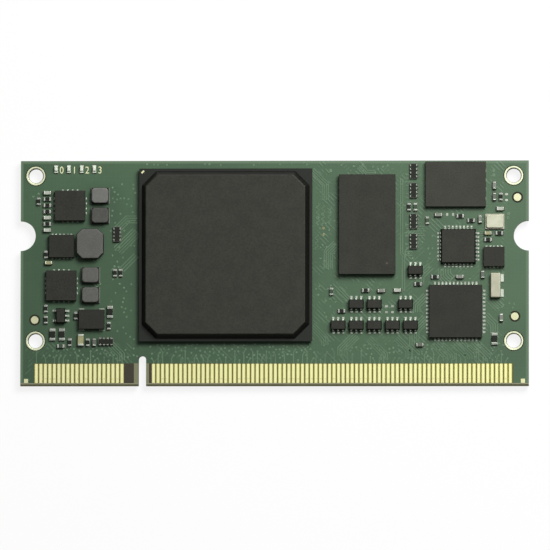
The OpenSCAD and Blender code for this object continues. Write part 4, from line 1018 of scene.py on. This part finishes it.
def ballShape(name, diameter, height, look):
    radius, half = diameter / 2, height / 2
    cap = math.sqrt(max(radius * radius - half * half, 0))
    profile = [(0, -half), (cap, -half)]
    for i in range(1, look["steps"]):
        z = -half + 2 * half * i / look["steps"]
        profile.append((math.sqrt(max(radius * radius - z * z, 0)), z))
    profile += [(cap, half), (0, half)]
    return lathedShape(name, profile, look["sides"])


for name, node in (("fpgaBalls", "fpga_solder_balls"), ("memoryBalls", "memory_solder_balls")):
    boxes = islands(node)
    low, high = boxes[0]
    diameter = (high.x - low.x) / mm
    height = (high.z - low.z) / mm
    shape = ballShape(name + "Shape", diameter, height, ballLook)
    centres = [(b[0] + b[1]) / 2 / mm for b in boxes]
    spots = [(c.x, c.y, c.z) for c in centres]
    mesh = grownMesh(name, pointSeed(name, spots), scatter,
                     {"Shape": shape, "Size": 1.0, "Finish": finish["solderShine"]})
    addPiece(name, mesh, "solder", [node])
    bpy.data.objects.remove(shape)
print("solder balls made")

# a printed dot at one corner of the memory
dotLook = {"radius": 0.13, "ink": 0.004, "inset": (1.1, 1.45)}
memoryLow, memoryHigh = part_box("memory_mould")
dot = lathedShape("dotShape", ((0, -dotLook["ink"]), (dotLook["radius"], -dotLook["ink"]),
                               (dotLook["radius"], dotLook["ink"]), (0, dotLook["ink"])), 20)
dotSpot = (memoryHigh.x / mm - dotLook["inset"][0], memoryLow.y / mm + dotLook["inset"][1],
           memoryHigh.z / mm)
mesh = grownMesh("memoryDot", pointSeed("memoryDot", [dotSpot]), scatter,
                 {"Shape": dot, "Size": 1.0, "Finish": finish["tanInk"]})
addPiece("memoryDot", mesh, "lamp_base")
bpy.data.objects.remove(dot)

# printed numerals beside the status lamps
numeralLook = {"height": 0.92, "narrow": 0.85, "right": 0.74, "down": 0.10, "ink": 0.006}
for count, (low, high) in enumerate(islands("lamp_lenses")):
    text = bpy.data.curves.new("numeral", "FONT")
    text.body = str(count)
    text.extrude = 0.1
    holder = bpy.data.objects.new("numeral", text)
    scene.collection.objects.link(holder)
    graph = bpy.context.evaluated_depsgraph_get()
    mesh = bpy.data.meshes.new_from_object(holder.evaluated_get(graph), depsgraph=graph)
    bpy.data.objects.remove(holder)
    spots = [v.co for v in mesh.vertices]
    lower = Vector(min(c[i] for c in spots) for i in range(3))
    upper = Vector(max(c[i] for c in spots) for i in range(3))
    scale = numeralLook["height"] * mm / (upper.y - lower.y)
    spot = (low + high) / 2 + Vector((numeralLook["right"], -numeralLook["down"], 0)) * mm
    for vert in mesh.vertices:
        flat = (vert.co - (lower + upper) / 2) * scale
        lift = faceZ + numeralLook["ink"] * (1 if vert.co.z > 0 else -1)
        vert.co = (spot.x + flat.x * numeralLook["narrow"], spot.y + flat.y, lift * mm)
    mesh.materials.clear()
    mesh.materials.append(finish["creamInk"])
    addPiece("lampNumeral" + str(count), mesh, "lamp_base")
print("numerals printed")
